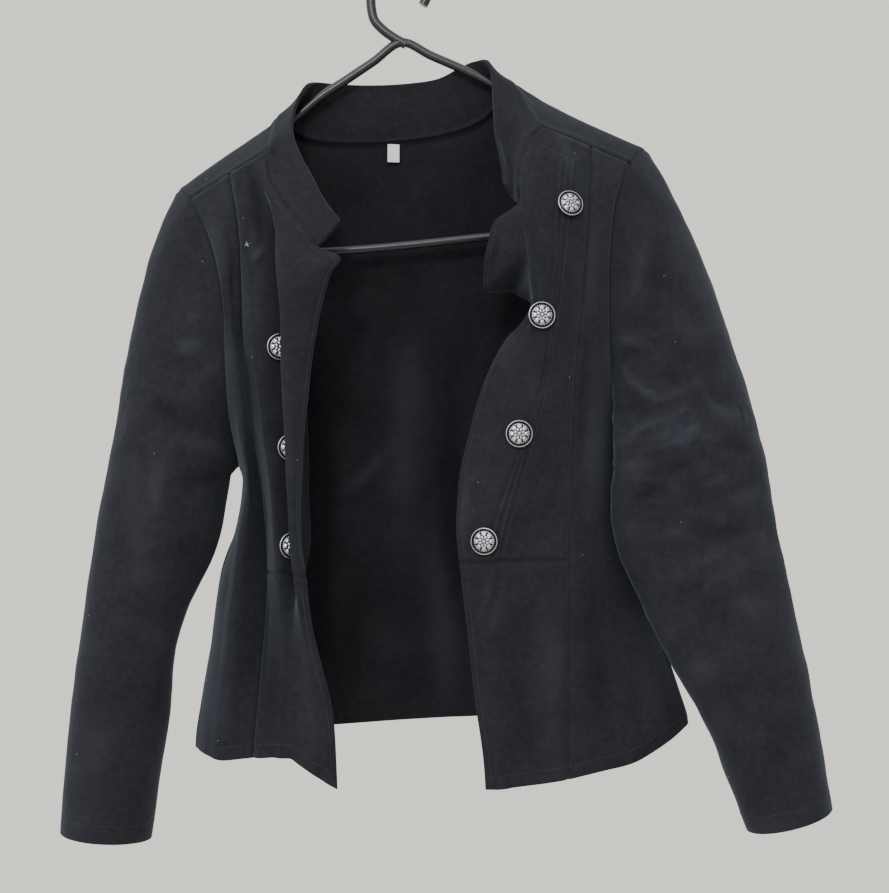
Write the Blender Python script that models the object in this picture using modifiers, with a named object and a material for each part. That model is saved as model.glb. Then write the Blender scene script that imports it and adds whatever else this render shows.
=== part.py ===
"""Cropped open-front blazer with a stand collar, hanging on a tubular plastic hanger.

Sizes are in millimetres and turned to metres when a mesh is made. +Z is up and the front
faces -Y. The origin is the inner top of the hanger's hook. In names, r and l are the
wearer's right and left, so r is at -X.

Every cloth piece is a wall round a grid of points. The grid's columns are seam and fold
lines that run down the garment, and a table gives each line. A line's row holds where it
was measured on the photograph: across and down in sight units, and its depth in mm behind
the hanger's plane.
"""
import math

import bpy
import numpy as np

for item in list(bpy.data.objects):
    bpy.data.objects.remove(item, do_unlink=True)

# Driving sizes
MM = 0.001
SIGHT = 0.84
EYE = (37.8, -1300.0, -406.6)
CENTRE = (444.0, 446.0)
CLOTH = 1.7
COLLAR_CLOTH = 3.0
BAND_CLOTH = 1.3
# A band's room over the front beyond the gap, for the bends of the cloth below it
BAND_CLEAR = 0.25
GAP = 0.3
SEAM_SHIFT = 0.21
WAIST = 20
HEM = 29
ARMPIT = 13
BACK_ARMPIT = 14
BACK_HEM = 30
BACK_COLUMNS = 20
NECK_R = 4
NECK_L = 16
TUBE = 3.75
HOOK_TUBE = 4.05
SLEEVE_ROWS = 22
CAP_ROWS = 8
# How far a sleeve's crown turns out sideways, and how strongly its cap falls into the arm
CROWN_OUT = 0.24
CAP_FALL = 0.8
# Shares of a shoulder seam from its outer end to the princess seam
PRINCESS_SHARE_R = 0.5
PRINCESS_SHARE_L = 0.433
# Share of the shoulder seam from the princess seam to the hip line's top
HIP_SHARE = 0.5
# The back's hem dips in the middle: its first row and the dip in mm
DIP_ROW = 22
DIP = 9.0
# Room under a button for its shank's thread, beyond the gap
SHANK_CLEAR = 0.2
# A sleeve's least distance from the body: at its seam, growth a row, largest, rows it holds for
CLEAR_START = 1.9
CLEAR_STEP = 1.3
CLEAR_MOST = 5.5
CLEAR_ROWS = 16
# The left sleeve bulges over its armpit: row, column and their spreads, and the move in mm
ARMPIT_BULGE = (4.5, 11.0, 3.2, 2.4)
ARMPIT_MOVE = (-9.0, -9.0, 0.0)
# Only a sleeve's point this near to a body wall is moved: aside of it, and behind it
CLEAR_ASIDE = 3.0
CLEAR_BEHIND = 9.0

# Line tables, a row for each measured place: row of the grid, across, down, depth
EDGE_R = [(0, 268, 148, -32), (1, 267, 165, -38), (2, 270, 182, -45), (3, 280, 198, -53),
          (4, 293, 214, -60), (5, 306, 230, -66), (6, 318, 246, -71), (7, 340, 257, -75),
          (8, 331, 272, -77), (9, 325, 292, -78), (10, 319, 316, -80), (11, 314, 342, -81),
          (12, 310, 368, -82), (13, 307, 395, -83), (14, 304, 422, -83), (15, 302, 448, -84),
          (16, 301, 472, -84), (17, 300, 496, -84), (18, 300, 520, -83), (19, 301, 545, -82),
          (20, 305, 575, -80), (22, 311, 624, -76), (24, 321, 665, -72), (26, 332, 711, -66),
          (28, 336, 765, -60), (29, 337, 789, -58)]
CREASE_R = [(1, 262, 168, -39), (2, 266, 185, -47), (3, 270, 202, -54), (4, 274, 222, -62),
            (5, 275.5, 240, -69), (6, 276, 258, -76), (7, 277.5, 280, -82), (8, 279, 300, -86),
            (9, 280, 320, -88), (11, 281, 364, -91), (13, 283.5, 412, -92), (15, 285.5, 456, -92),
            (17, 287.5, 500, -92), (19, 290, 548, -89), (20, 293, 575, -85), (21, 297, 598, -82),
            (23, 305, 645, -76), (26, 314, 712, -68), (29, 314, 775, -59)]
UNDER_R = [(1, 255, 174, -38), (2, 261, 191, -43), (3, 269, 206, -47), (4, 279, 226, -51),
           (5, 287, 244, -53), (6, 293, 262, -54), (8, 300, 302, -54), (10, 303, 344, -53),
           (12, 305, 390, -52), (15, 307, 456, -52), (17, 308, 502, -52), (19, 309, 549, -53),
           (20, 303, 574, -56), (21, 295, 595, -61), (23, 292, 640, -66), (26, 292, 704, -63),
           (29, 290, 758, -58)]
RIDGE_R = [(3, 247, 212, -50), (7, 253, 295, -57), (10, 256, 350, -60), (13, 262, 412, -62),
           (16, 269, 475, -62), (18, 273, 522, -62), (20, 277, 571, -61), (23, 278, 632, -60),
           (26, 276, 698, -58), (29, 272, 757, -54)]
PRINCESS_R = [(3, 237, 222, -45), (7, 241, 300, -47), (10, 243, 355, -43), (13, 249, 415, -38),
              (16, 260, 478, -33), (18, 265, 525, -31), (20, 267, 571, -31), (22, 265, 612, -33),
              (24, 261, 655, -38), (26, 257, 700, -43), (29, 252, 757, -47)]
HIP_R = [(3, 224, 232, -47), (7, 231, 305, -53), (10, 234, 360, -53), (13, 241, 425, -50),
         (16, 248, 482, -49), (20, 240, 563, -51), (23, 234, 628, -53), (26, 229, 690, -54),
         (29, 222, 760, -50)]
SIDE_R = [(0, 190, 198, -22), (1, 197, 212, -29), (2, 204, 227, -34), (3, 210, 243, -38),
          (4, 215, 261, -40), (5, 219, 281, -42), (6, 222, 302, -43), (7, 224, 324, -43),
          (8, 225, 347, -42), (9, 226.5, 371, -40), (10, 228, 395, -36), (11, 230, 419, -29),
          (12, 234, 443, -16), (13, 240, 464, 1), (15, 246, 490, 8), (17, 239, 522, 10),
          (20, 222, 567, 9), (22, 216, 605, 6), (24, 211, 645, 2), (26, 203, 690, -2),
          (28, 196, 730, -4), (29, 195, 745, -4)]
EDGE_L = [(0, 539, 124, -34), (1, 530, 136, -40), (2, 523, 150, -46), (3, 519, 165, -54),
          (4, 518, 184, -62), (5, 518, 203, -66), (6, 495, 221, -56), (7, 487, 243, -56),
          (8, 483, 267, -55), (9, 485, 291, -48), (10, 509, 291, -26), (11, 530, 303, -40),
          (12, 527, 322, -64), (13, 503, 345, -68), (14, 488, 373, -72), (15, 476, 405, -76),
          (16, 467, 440, -78), (17, 460, 470, -80), (18, 457, 500, -82), (19, 456, 532, -82),
          (20, 459, 562, -80), (22, 464, 607, -76), (24, 469, 650, -72), (26, 475, 702, -66),
          (28, 483, 760, -60), (29, 485, 789, -58)]
CREASE_L = [(1, 540, 143, -44), (2, 532, 160, -53), (3, 527, 178, -60), (4, 524, 195, -66),
            (5, 522, 207, -70), (6, 521, 215, -72), (7, 522, 228, -72), (8, 524, 239, -72),
            (9, 525, 249, -72), (10, 528, 264, -71), (11, 531, 281, -72), (12, 532, 299, -74),
            (13, 528, 318, -77), (14, 517, 345, -79), (15, 507, 380, -81), (16, 499, 418, -82),
            (17, 491, 458, -83), (18, 484, 497, -84), (19, 480, 532, -84), (20, 479, 562, -83),
            (23, 480, 634, -76), (26, 487, 708, -68), (29, 497, 789, -58)]
BAND_L = [(3, 569, 204, -58), (7, 561, 290, -70), (10, 553, 350, -75), (14, 537, 425, -80),
          (17, 519, 492, -83), (20, 503, 560, -84), (23, 500, 632, -76), (26, 505, 706, -68),
          (29, 512, 787, -58)]
PRINCESS_L = [(3, 588, 205, -50), (7, 582, 290, -62), (10, 576, 350, -66), (14, 571, 432, -68),
              (17, 569, 495, -68), (20, 567, 559, -67), (23, 567, 632, -63), (26, 567, 705, -57),
              (29, 567, 779, -50)]
HIP_L = [(3, 602, 205, -47), (7, 596, 292, -56), (10, 595, 355, -56), (13, 597, 428, -50),
         (16, 602, 490, -46), (20, 608, 562, -44), (23, 617, 628, -44), (26, 626, 695, -42),
         (29, 632, 763, -38)]
SIDE_L = [(0, 629, 163, -22), (1, 623, 177, -28), (2, 618, 192, -33), (3, 614, 210, -37),
          (4, 611.5, 230, -40), (5, 610, 252, -42), (6, 609, 275, -43), (7, 609, 299, -43),
          (8, 609, 323, -42), (9, 609.5, 347, -40), (10, 610.5, 371, -36), (11, 613, 396, -29),
          (12, 618, 422, -16), (13, 626, 446, 1), (16, 637, 500, 10), (18, 643, 535, 12),
          (20, 648, 565, 12), (22, 655, 610, 8), (24, 668, 655, 3), (26, 680, 692, -2),
          (28, 687, 714, -4), (29, 688, 722, -4)]
BACK_ARM_R = [(0, 190, 198, -22), (1, 183, 192, -11), (2, 178.5, 190, 0), (3, 177, 196, 10),
              (4, 178, 210, 17), (6, 184, 250, 24), (8, 191, 300, 28), (10, 200, 350, 26),
              (12, 214, 405, 20), (13, 227, 440, 13), (14, 240, 464, 1)]
BACK_ARM_L = [(0, 629, 163, -22), (1, 637, 154, -11), (2, 643, 149, 0), (3, 648, 154, 10),
              (4, 650, 167, 17), (6, 649, 207, 24), (8, 646, 257, 28), (10, 642, 312, 27),
              (12, 637, 385, 20), (13, 632, 420, 13), (14, 626, 446, 1)]
# The neck seam across the back, a row for each column: column, across, down, depth
BACK_NECK = [(4, 268, 148, -32), (5, 271, 133, -16), (6, 277, 118, 0), (7, 288, 127, 11),
             (8, 313, 140, 17), (9, 356, 143, 20), (10, 399, 141, 20), (11, 441, 135, 20),
             (12, 480, 121, 17), (13, 505, 94, 11), (14, 514, 84, 0), (15, 528, 105, -18),
             (16, 539, 124, -34)]
# The line over the shoulders and below the neck seam: column, across, down, depth
BACK_RIDGE = [(0, 178.5, 190, 0), (4, 260, 132, 0), (5, 269, 126.5, 1), (6, 277, 121, 6),
              (7, 287, 134, 15), (8, 313, 147, 19), (9, 356, 150, 21), (10, 399, 148, 21),
              (11, 441, 142, 21), (12, 481, 128, 19), (13, 506, 101, 15), (14, 515, 88, 6),
              (15, 529, 94, 1), (16, 546, 104, 0), (20, 643, 149, 0)]
# The collar, a row for each place along it from the r end: place, across, down, depth of the
# top edge, then how far the middle stands out of the straight line, in mm
COLLAR_TOP = [(0, 340, 220, -70, 1.0), (1, 331, 209, -66, 1.5), (2, 322, 196, -60, 2.0),
              (3, 312, 176, -52, 2.0), (4, 302, 158, -43, 2.0), (5, 294, 140, -34, 2.0),
              (6, 292, 124, -25, 2.0), (7, 296, 104, -15, 2.0), (8, 305, 86, -7, 2.0),
              (9, 316, 82, 6, 1.5), (10, 337, 84, 12, 1.0), (11, 366, 85, 12, 1.0),
              (12, 400, 84, 13, 1.0), (13, 436, 79, 12, 1.0), (14, 460, 67, 9, 1.0),
              (15, 475, 61, 7, 1.5), (16, 488, 62, -7, 2.0), (17, 492, 82, -16, 3.0),
              (18, 493, 106, -27, 4.0), (19, 494, 126, -36, 6.0), (20, 496, 140, -43, 7.0),
              (21, 499, 152, -49, 7.0), (22, 502, 168, -55, 7.0), (23, 504, 183, -60, 7.0)]
# The back's depth by height, in the middle and beside the side seams: down, middle, sides
BACK_DEPTH = [(130, 19, 12), (220, 22, 21), (300, 24, 25), (380, 25, 23), (460, 24, 17),
              (540, 22, 13), (620, 21, 8), (680, 23, 2), (740, 25, -4)]
# Sleeve sections: outer edge across, down, depth, inner edge across, down, depth, half depth
SLEEVE_R = [(113, 451, -4, 228, 480, -18, 40), (103, 505, -8, 220, 525, -28, 37),
            (94, 555, -12, 209, 562, -24, 35), (86, 610, -16, 184, 612, -25, 34),
            (78, 665, -21, 172, 662, -28, 34), (72, 718, -26, 168.5, 715, -31, 35),
            (66, 772, -31, 159.5, 772, -33, 35), (62, 829, -34, 150, 837, -36, 34)]
SLEEVE_L = [(757, 447, 2, 616, 478, -52, 34), (768, 492, 4, 613, 512, -58, 27),
            (776, 543, 0, 620, 556, -56, 24), (787, 590, -5, 641, 599, -53, 26),
            (797, 640, -12, 664, 648, -46, 29), (808, 690, -20, 690, 692, -42, 32),
            (819, 745, -27, 715, 745, -38, 33), (830, 805, -33, 747, 829, -36, 34)]
# Largest folds: piece, row and column of the start, of the end, width in mm, height in mm
FOLDS = [("back", 9, 13, 24, 11, 44, -8.0), ("back", 8, 5, 24, 7, 40, -6.0),
         ("back", 17, 3, 30, 4, 38, 6.0), ("back", 17, 16, 30, 17, 40, 7.0),
         ("sleeve_l", 5, 3, 9, 9, 26, -5.0), ("sleeve_l", 9, 2, 12, 9, 26, -5.0),
         ("sleeve_l", 10, 16, 12, 23, 30, -4.5), ("sleeve_r", 9, 4, 12, 10, 28, -4.0),
         ("sleeve_r", 10, 17, 12, 23, 30, -4.5)]
# The hanger's arms, ends and bar, in its own flat plane: across, down
ARM_R = [(402, 42), (372, 62), (345, 80), (318, 98), (303, 110.5), (279, 130.5), (260, 143),
         (230, 163.5), (203, 182.5), (195, 190), (188, 200), (185, 213), (189, 228), (199, 241),
         (214, 248), (232, 249.6)]
ARM_L = [(566, 229.6), (596, 228), (616, 223), (632, 210), (642, 193), (645, 176), (641, 162),
         (630, 152), (612, 143.5), (580, 129), (546, 113), (528, 104), (514, 96), (487, 81),
         (460, 68), (430, 55)]
HOOK = [(405.5, 44.3), (392, 36.5), (382, 29), (374, 20), (371, 8), (370.5, -8), (372.5, -22),
        (379, -34), (388.5, -40.5), (399, -42.5), (409.5, -40.5), (419, -34), (425.5, -23),
        (427.3, -12), (425.5, -1), (421, 7)]
# Buttons: name, side, across, down
BUTTONS = [("button_l1", "l", 571, 204), ("button_l2", "l", 541, 315), ("button_l3", "l", 518, 432),
           ("button_l4", "l", 484, 542), ("button_r2", "r", 279, 347), ("button_r3", "r", 288.5, 448),
           ("button_r4", "r", 290, 552)]
# Half profile of a button from its back: radius, height
BUTTON_PROFILE = [(0.0, 0.0), (2.6, 0.0), (2.6, 1.5), (10.3, 1.8), (10.7, 3.2), (9.7, 3.6),
                  (9.1, 3.0), (6.6, 4.8), (0.0, 5.7)]

CLOTH_COLOUR = (0.021, 0.024, 0.034, 1.0)
PLASTIC_COLOUR = (0.012, 0.012, 0.013, 1.0)
METAL_COLOUR = (0.55, 0.55, 0.56, 1.0)
LABEL_COLOUR = (0.75, 0.74, 0.71, 1.0)

made = bpy.data.collections.new("blazer_on_hanger")
bpy.context.scene.collection.children.link(made)
helpers = bpy.data.collections.new("helpers")
bpy.context.scene.collection.children.link(helpers)


def place(across, down, depth):
    """Point in mm of a measured place at a depth behind the hanger's plane."""
    grow = SIGHT * (1.0 - depth / EYE[1])
    return np.array((EYE[0] + (across - CENTRE[0]) * grow, depth, EYE[2] - (down - CENTRE[1]) * grow))


def sighted(points):
    """Across and down of points in mm, the inverse of place."""
    grow = SIGHT * (1.0 - points[..., 1] / EYE[1])
    across = CENTRE[0] + (points[..., 0] - EYE[0]) / grow
    down = CENTRE[1] - (points[..., 2] - EYE[2]) / grow
    return np.stack((across, down), axis=-1)


def spline(keys, values, at):
    """Smooth curve through values at keys, read at other places."""
    keys = np.asarray(keys, float)
    values = np.asarray(values, float)
    slopes = np.gradient(values, keys, axis=0)
    out = []
    for place_at in at:
        i = int(np.clip(np.searchsorted(keys, place_at, side="right") - 1, 0, len(keys) - 2))
        step = keys[i + 1] - keys[i]
        t = (place_at - keys[i]) / step
        out.append(values[i] * (2 * t**3 - 3 * t**2 + 1) + values[i + 1] * (3 * t**2 - 2 * t**3)
                   + step * (slopes[i] * (t**3 - 2 * t**2 + t) + slopes[i + 1] * (t**3 - t**2)))
    return np.array(out)


def line(table, rows, first=None):
    """Points in mm of a line's table at each grid row, with its first point given or its own."""
    keys = [row[0] for row in table]
    values = [place(*row[1:4]) for row in table]
    if first is not None:
        keys.insert(0, 0)
        values.insert(0, first)
    return spline(keys, values, rows)


def between(a, b, share):
    """Point or line part of the way from a to b."""
    return a + (b - a) * share


def unit(vectors):
    """Vectors at length one."""
    return vectors / np.maximum(np.linalg.norm(vectors, axis=-1, keepdims=True), 1e-9)


class Wall:
    """A cloth wall round a grid of points, with rims shared along its seams."""

    def __init__(self, name, points, outside, thick=CLOTH, ring=False, colour=CLOTH_COLOUR):
        self.name = name
        self.points = points
        self.thick = thick
        self.ring = ring
        self.colour = colour
        self.shift = SEAM_SHIFT * thick / CLOTH
        if ring:
            wide = np.roll(points, -1, axis=1) - np.roll(points, 1, axis=1)
        else:
            wide = np.gradient(points, axis=1)
        tall = np.gradient(points, axis=0)
        self.normals = unit(np.cross(wide, tall)) * outside
        self.total = self.normals.copy()
        self.seams = []

    def mate(self, mine, inside, other, theirs):
        """Adds the other wall's direction along a shared seam to this wall's rim."""
        line_points = other.points[theirs]
        line_normals = other.normals[theirs]
        for row, column in zip(*mine):
            p = self.points[row, column]
            best = None
            for k in range(len(line_points) - 1):
                a, b = line_points[k], line_points[k + 1]
                t = float(np.clip(np.dot(p - a, b - a) / max(np.dot(b - a, b - a), 1e-9), 0, 1))
                far = np.linalg.norm(p - between(a, b, t))
                if best is None or far < best[0] - 1e-6:
                    best = (far, between(line_normals[k], line_normals[k + 1], t))
            self.total[row, column] += best[1]
        self.seams.append((mine, inside))

    def settle(self):
        """Moves each seam's points back from the seam and fixes the rim directions."""
        rims = unit(self.total)
        moved = self.points.copy()
        for (rows, columns), (in_rows, in_columns) in self.seams:
            seam = self.points[rows, columns]
            along = unit(np.gradient(seam, axis=0))
            rim = rims[rows, columns]
            inward = self.points[in_rows, in_columns] - seam
            inward = inward - rim * np.sum(inward * rim, axis=1, keepdims=True)
            inward = inward - along * np.sum(inward * along, axis=1, keepdims=True)
            moved[rows, columns] += unit(inward) * self.shift
        self.points = moved
        self.normals = rims

    def build(self):
        """Makes the closed wall as a Blender object."""
        rows, columns = self.points.shape[:2]
        outer = (self.points + self.normals * self.thick / 2).reshape(-1, 3)
        inner = (self.points - self.normals * self.thick / 2).reshape(-1, 3)
        count = rows * columns
        faces = []
        spans = columns if self.ring else columns - 1
        for i in range(rows - 1):
            for j in range(spans):
                a = i * columns + j
                b = i * columns + (j + 1) % columns
                c, d = b + columns, a + columns
                faces.append((a, b, c, d))
                faces.append((count + d, count + c, count + b, count + a))
        border = []
        for j in range(spans):
            top, after = j, (j + 1) % columns
            low = (rows - 1) * columns
            border.append((after, top))
            border.append((low + top, low + after))
        if not self.ring:
            for i in range(rows - 1):
                border.append((i * columns, (i + 1) * columns))
                border.append(((i + 2) * columns - 1, (i + 1) * columns - 1))
        faces += [(a, b, count + b, count + a) for a, b in border]
        return solid(self.name, np.vstack((outer, inner)) * MM, faces, self.colour, 0.9)


def material(obj, colour, rough, metal=0.0):
    """Gives an object its own plain material."""
    mat = bpy.data.materials.new(obj.name)
    mat.use_nodes = True
    bsdf = mat.node_tree.nodes["Principled BSDF"]
    bsdf.inputs["Base Color"].default_value = colour
    bsdf.inputs["Roughness"].default_value = rough
    bsdf.inputs["Metallic"].default_value = metal
    obj.data.materials.clear()
    obj.data.materials.append(mat)


def solid(name, points, faces, colour, rough):
    """Mesh object from points and faces, its faces turned outwards."""
    mesh = bpy.data.meshes.new(name)
    mesh.from_pydata([tuple(p) for p in points], [], faces)
    mesh.update()
    total = 0.0
    mesh.calc_loop_triangles()
    for tri in mesh.loop_triangles:
        a, b, c = (np.array(mesh.vertices[v].co) for v in tri.vertices)
        total += np.dot(a, np.cross(b, c))
    if total < 0:
        mesh.flip_normals()
    obj = bpy.data.objects.new(name, mesh)
    made.objects.link(obj)
    material(obj, colour, rough)
    return obj


def front(corner, princess, lines):
    """Grid of a front from the princess seam to the front edge, with a straight top row."""
    grid = np.stack([points for _, points in lines], axis=1)
    for column, (share, _) in enumerate(lines):
        grid[0, column] = between(princess, corner, share)
    return grid


# Shoulder seams are straight from the armhole to the neck corner
corner_r = place(*EDGE_R[0][1:])
corner_l = place(*EDGE_L[0][1:])
shoulder_r = place(*SIDE_R[0][1:])
shoulder_l = place(*SIDE_L[0][1:])
top_r = between(shoulder_r, corner_r, PRINCESS_SHARE_R)
top_l = between(shoulder_l, corner_l, PRINCESS_SHARE_L)

# Right front: band, the fold that hides part of it, and the strip along the edge
rows = np.arange(HEM + 1)
edge = line(EDGE_R, rows)
crease = line(CREASE_R, rows, between(top_r, corner_r, 0.82))
under = line(UNDER_R, rows, between(top_r, corner_r, 0.5))
ridge = line(RIDGE_R, rows, between(top_r, corner_r, 0.22))
princess_r = line(PRINCESS_R, rows, top_r)
folded = np.clip((under[:, 0] - crease[:, 0]) / 7.0, 0, 1)[:, None]


def turned(base, across, depth, flat):
    """Line beside a fold: flat where the cloth lies open, offset where it is folded."""
    offset = base + np.array((across, depth, 0.0))
    return flat * (1 - folded) + offset * folded


under_in = turned(under, -4.0, 2.0, between(ridge, under, 0.8))
under_out = turned(under, -2.0, -10.0, between(under, crease, 0.3))
crease_in = turned(crease, 4.5, 5.0, between(under, crease, 0.7))
crease_out = turned(crease, 4.0, -2.0, between(crease, edge, 0.25))
valley = between(princess_r, ridge, 0.5) + np.array((0.0, -3.0, 0.0))
band_mid = between(ridge, under_in, 0.5) + np.array((0.0, -1.5, 0.0))
strip_mid = between(crease_out, edge, 0.5) + np.array((0.0, -1.5, 0.0))
right = front(corner_r, top_r, [
    (0.0, princess_r), (0.11, valley), (0.22, ridge), (0.32, band_mid), (0.42, under_in),
    (0.5, under), (0.58, under_out), (0.66, between(under_out, crease_in, 0.5)), (0.74, crease_in),
    (0.82, crease), (0.88, crease_out), (0.94, strip_mid), (1.0, edge)])

# Left front: its strip is buckled below the peak, then runs on as the lit edge
edge = line(EDGE_L, rows)
crease = line(CREASE_L, rows, between(top_l, corner_l, 0.76))
band = line(BAND_L, rows, between(top_l, corner_l, 0.34))
princess_l = line(PRINCESS_L, rows, top_l)
bulge = np.array((0.0, -1.5, 0.0))
left = front(corner_l, top_l, [
    (0.0, princess_l), (0.17, between(princess_l, band, 0.5) + bulge), (0.34, band),
    (0.48, between(band, crease, 0.33) + bulge), (0.62, between(band, crease, 0.67) + bulge),
    (0.76, crease), (0.84, between(crease, edge, 0.33)), (0.92, between(crease, edge, 0.67)),
    (1.0, edge)])


def side(princess, hip, seam, outward):
    """Grid of a side front from the princess seam to the armhole and side seam."""
    hip = line(hip, rows, between(princess[0], seam[0], HIP_SHARE))
    wide = np.linalg.norm(seam - hip, axis=1, keepdims=True)
    lean = np.array((outward, -1.0, 0.0)) * 0.05 * wide
    columns = [princess, between(princess, hip, 0.5) + np.array((0, -1.0, 0)), hip,
               between(hip, seam, 0.36) + lean, between(hip, seam, 0.7) + lean * 0.9, seam]
    grid = np.stack(columns, axis=1)
    for column, share in enumerate((0, HIP_SHARE / 2, HIP_SHARE, 0.66, 0.83, 1)):
        grid[0, column] = between(princess[0], seam[0], share)
    return grid


side_r = side(princess_r, HIP_R, line(SIDE_R, rows), -1.0)
side_l = side(princess_l, HIP_L, line(SIDE_L, rows), 1.0)

# Back: shoulder seams and neck seam along the top, then sections down to the hem
back_rows = np.arange(BACK_HEM + 1)
arm_rows = np.arange(BACK_ARMPIT + 1)
edge_r = np.vstack((line(BACK_ARM_R, arm_rows), side_r[ARMPIT + 1:, -1]))
edge_l = np.vstack((line(BACK_ARM_L, arm_rows), side_l[ARMPIT + 1:, -1]))
edge_r[BACK_ARMPIT] = side_r[ARMPIT, -1]
edge_l[BACK_ARMPIT] = side_l[ARMPIT, -1]
columns = np.arange(BACK_COLUMNS + 1)
neck = line(BACK_NECK, np.arange(NECK_R, NECK_L + 1))
top = np.vstack(([between(shoulder_r, corner_r, k / NECK_R) for k in range(NECK_R)], neck,
                 [between(corner_l, shoulder_l, k / NECK_R) for k in range(1, NECK_R + 1)]))
over = line(BACK_RIDGE, columns)
back = np.zeros((BACK_HEM + 1, BACK_COLUMNS + 1, 3))
heights = [row[0] for row in BACK_DEPTH]
depths = [row[1:] for row in BACK_DEPTH]
for i in back_rows:
    for j in columns:
        share = j / BACK_COLUMNS
        flat = math.sin(math.pi * share) ** 0.55 if 0 < j < BACK_COLUMNS else 0.0
        point = between(edge_r[i], edge_l[i], share)
        middle, sides = spline(heights, depths, [sighted(point)[1]])[0]
        pull = max(0.0, 1 - min(share, 1 - share) / 0.16) ** 2
        point[1] = middle * flat + (sides + (point[1] - sides) * pull) * (1 - flat)
        point[2] += DIP * flat * max(0.0, (i - DIP_ROW) / (BACK_HEM - DIP_ROW))
        if i < 5:
            # Above the shoulder blades the sections sag from the shoulders to the neck
            point[2] -= 4.0 * math.sin(math.pi * share)
        back[i, j] = point
for j in columns:
    keys = (0, 1, 2, 6, 7, 9)
    first = between(top[j], over[j], 0.5) + np.array((0, 0, 2.0 if j < NECK_R + 1 or j > NECK_L - 1 else 0))
    back[:9, j] = spline(keys, (top[j], first, over[j], back[6, j], back[7, j], back[9, j]), range(9))
for _ in range(4):
    # The pull from the side of the neck is eased over the rows below it
    back[3:9, 1:-1] = (back[3:9, :-2] + 2 * back[3:9, 1:-1] + back[3:9, 2:]) / 4
back[:, 0] = edge_r
back[:, -1] = edge_l


def sleeve(table, front_arm, back_arm, out_sign):
    """Grid of a sleeve: the armhole, then rings blended into the measured sections."""
    loop = np.vstack((front_arm, back_arm[BACK_ARMPIT - 1:0:-1]))
    count = len(loop)
    tip = count - 2
    angles = np.zeros(count)
    for k in range(count):
        if k <= ARMPIT:
            angles[k] = math.pi * (k + 2) / (ARMPIT + 2)
        else:
            angles[k] = math.pi + math.pi * (k - ARMPIT) / (tip - ARMPIT)
    keys = [CAP_ROWS + k * (SLEEVE_ROWS - CAP_ROWS) / (len(table) - 1) for k in range(len(table))]
    outer = [place(*row[0:3]) for row in table]
    inner = [place(*row[3:6]) for row in table]
    half = [row[6] for row in table]
    at = np.arange(CAP_ROWS, SLEEVE_ROWS + 1)
    outer = spline(keys, outer, at)
    inner = spline(keys, inner, at)
    half = spline(keys, half, at)
    rings = []
    for a, b, depth in zip(outer, inner, half):
        centre = between(a, b, 0.5)
        reach = (a - b) / 2
        face = unit(np.cross(reach, (0, 0, 1.0))) * -out_sign
        ring = [centre + reach * math.cos(t) - face * depth * math.sin(t) for t in angles]
        rings.append(ring)
    rings = np.array(rings)
    grid = np.zeros((SLEEVE_ROWS + 1, count, 3))
    grid[CAP_ROWS:] = rings
    grid[0] = loop
    fall = unit(rings[1] - rings[0])
    for k in range(count):
        start, end = loop[k], rings[0][k]
        reach = np.linalg.norm(end - start)
        crown = max(0.0, math.cos(angles[k])) ** 1.5
        out = unit(between(end - start, np.array((out_sign, 0.0, 0.0)) * reach, CROWN_OUT * crown))
        for i in range(1, CAP_ROWS):
            t = i / CAP_ROWS
            grid[i, k] = (start * (2 * t**3 - 3 * t**2 + 1) + end * (3 * t**2 - 2 * t**3)
                          + out * reach * (t**3 - 2 * t**2 + t)
                          + fall[k] * reach * CAP_FALL * (t**3 - t**2))
    return grid


cuff_r = sleeve(SLEEVE_R, side_r[:ARMPIT + 1, -1], edge_r, -1.0)
cuff_l = sleeve(SLEEVE_L, side_l[:ARMPIT + 1, -1], edge_l, 1.0)


def kept_off(grid, body, outward):
    """Moves a sleeve's points that come too near a body wall out to a least distance."""
    fine = 6
    spots = []
    for a in np.linspace(0, 1, fine, endpoint=False):
        for b in np.linspace(0, 1, fine, endpoint=False):
            spots.append(between(between(body[:-1, :-1], body[:-1, 1:], b),
                                 between(body[1:, :-1], body[1:, 1:], b), a))
    facing = unit(np.cross(body[:-1, 1:] - body[:-1, :-1], body[1:, :-1] - body[:-1, :-1])) * outward
    facing = np.concatenate([facing.reshape(-1, 3)] * len(spots))
    spots = np.concatenate([spot.reshape(-1, 3) for spot in spots])
    for i in range(1, CLEAR_ROWS):
        least = min(CLEAR_START + CLEAR_STEP * i, CLEAR_MOST)
        for k in range(grid.shape[1]):
            offset = grid[i, k] - spots
            best = int(np.argmin(np.sum(offset**2, axis=1)))
            height = float(np.dot(offset[best], facing[best]))
            aside = np.linalg.norm(offset[best] - facing[best] * height)
            if aside < CLEAR_ASIDE and -CLEAR_BEHIND < height < least:
                grid[i, k] = grid[i, k] + facing[best] * (least - height)


row_at, column_at, row_spread, column_spread = ARMPIT_BULGE
for i in range(1, CAP_ROWS + 2):
    for k in range(cuff_l.shape[1]):
        near = math.exp(-((i - row_at) / row_spread) ** 2 - ((k - column_at) / column_spread) ** 2)
        cuff_l[i, k] += np.array(ARMPIT_MOVE) * near
kept_off(cuff_r, side_r[8:, 1:], 1.0)
kept_off(cuff_l, side_l[8:, 1:], -1.0)

# Collar: its seam follows the fronts and the back neck, its top edge has its own table
seam = np.vstack((right[6:0:-1, -1], top[NECK_R:NECK_L + 1], left[1:6, -1]))
stand = line(COLLAR_TOP, range(len(seam)))
lean = np.array([row[4] for row in COLLAR_TOP])[:, None]
along = unit(np.gradient(seam, axis=0))
outwards = unit(np.cross(along, stand - seam))
collar_rows = []
for share in (0.0, 0.25, 0.5, 0.75, 1.0):
    collar_rows.append(between(seam, stand, share) + outwards * lean * math.sin(math.pi * share))
collar = np.stack(collar_rows, axis=0)

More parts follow.
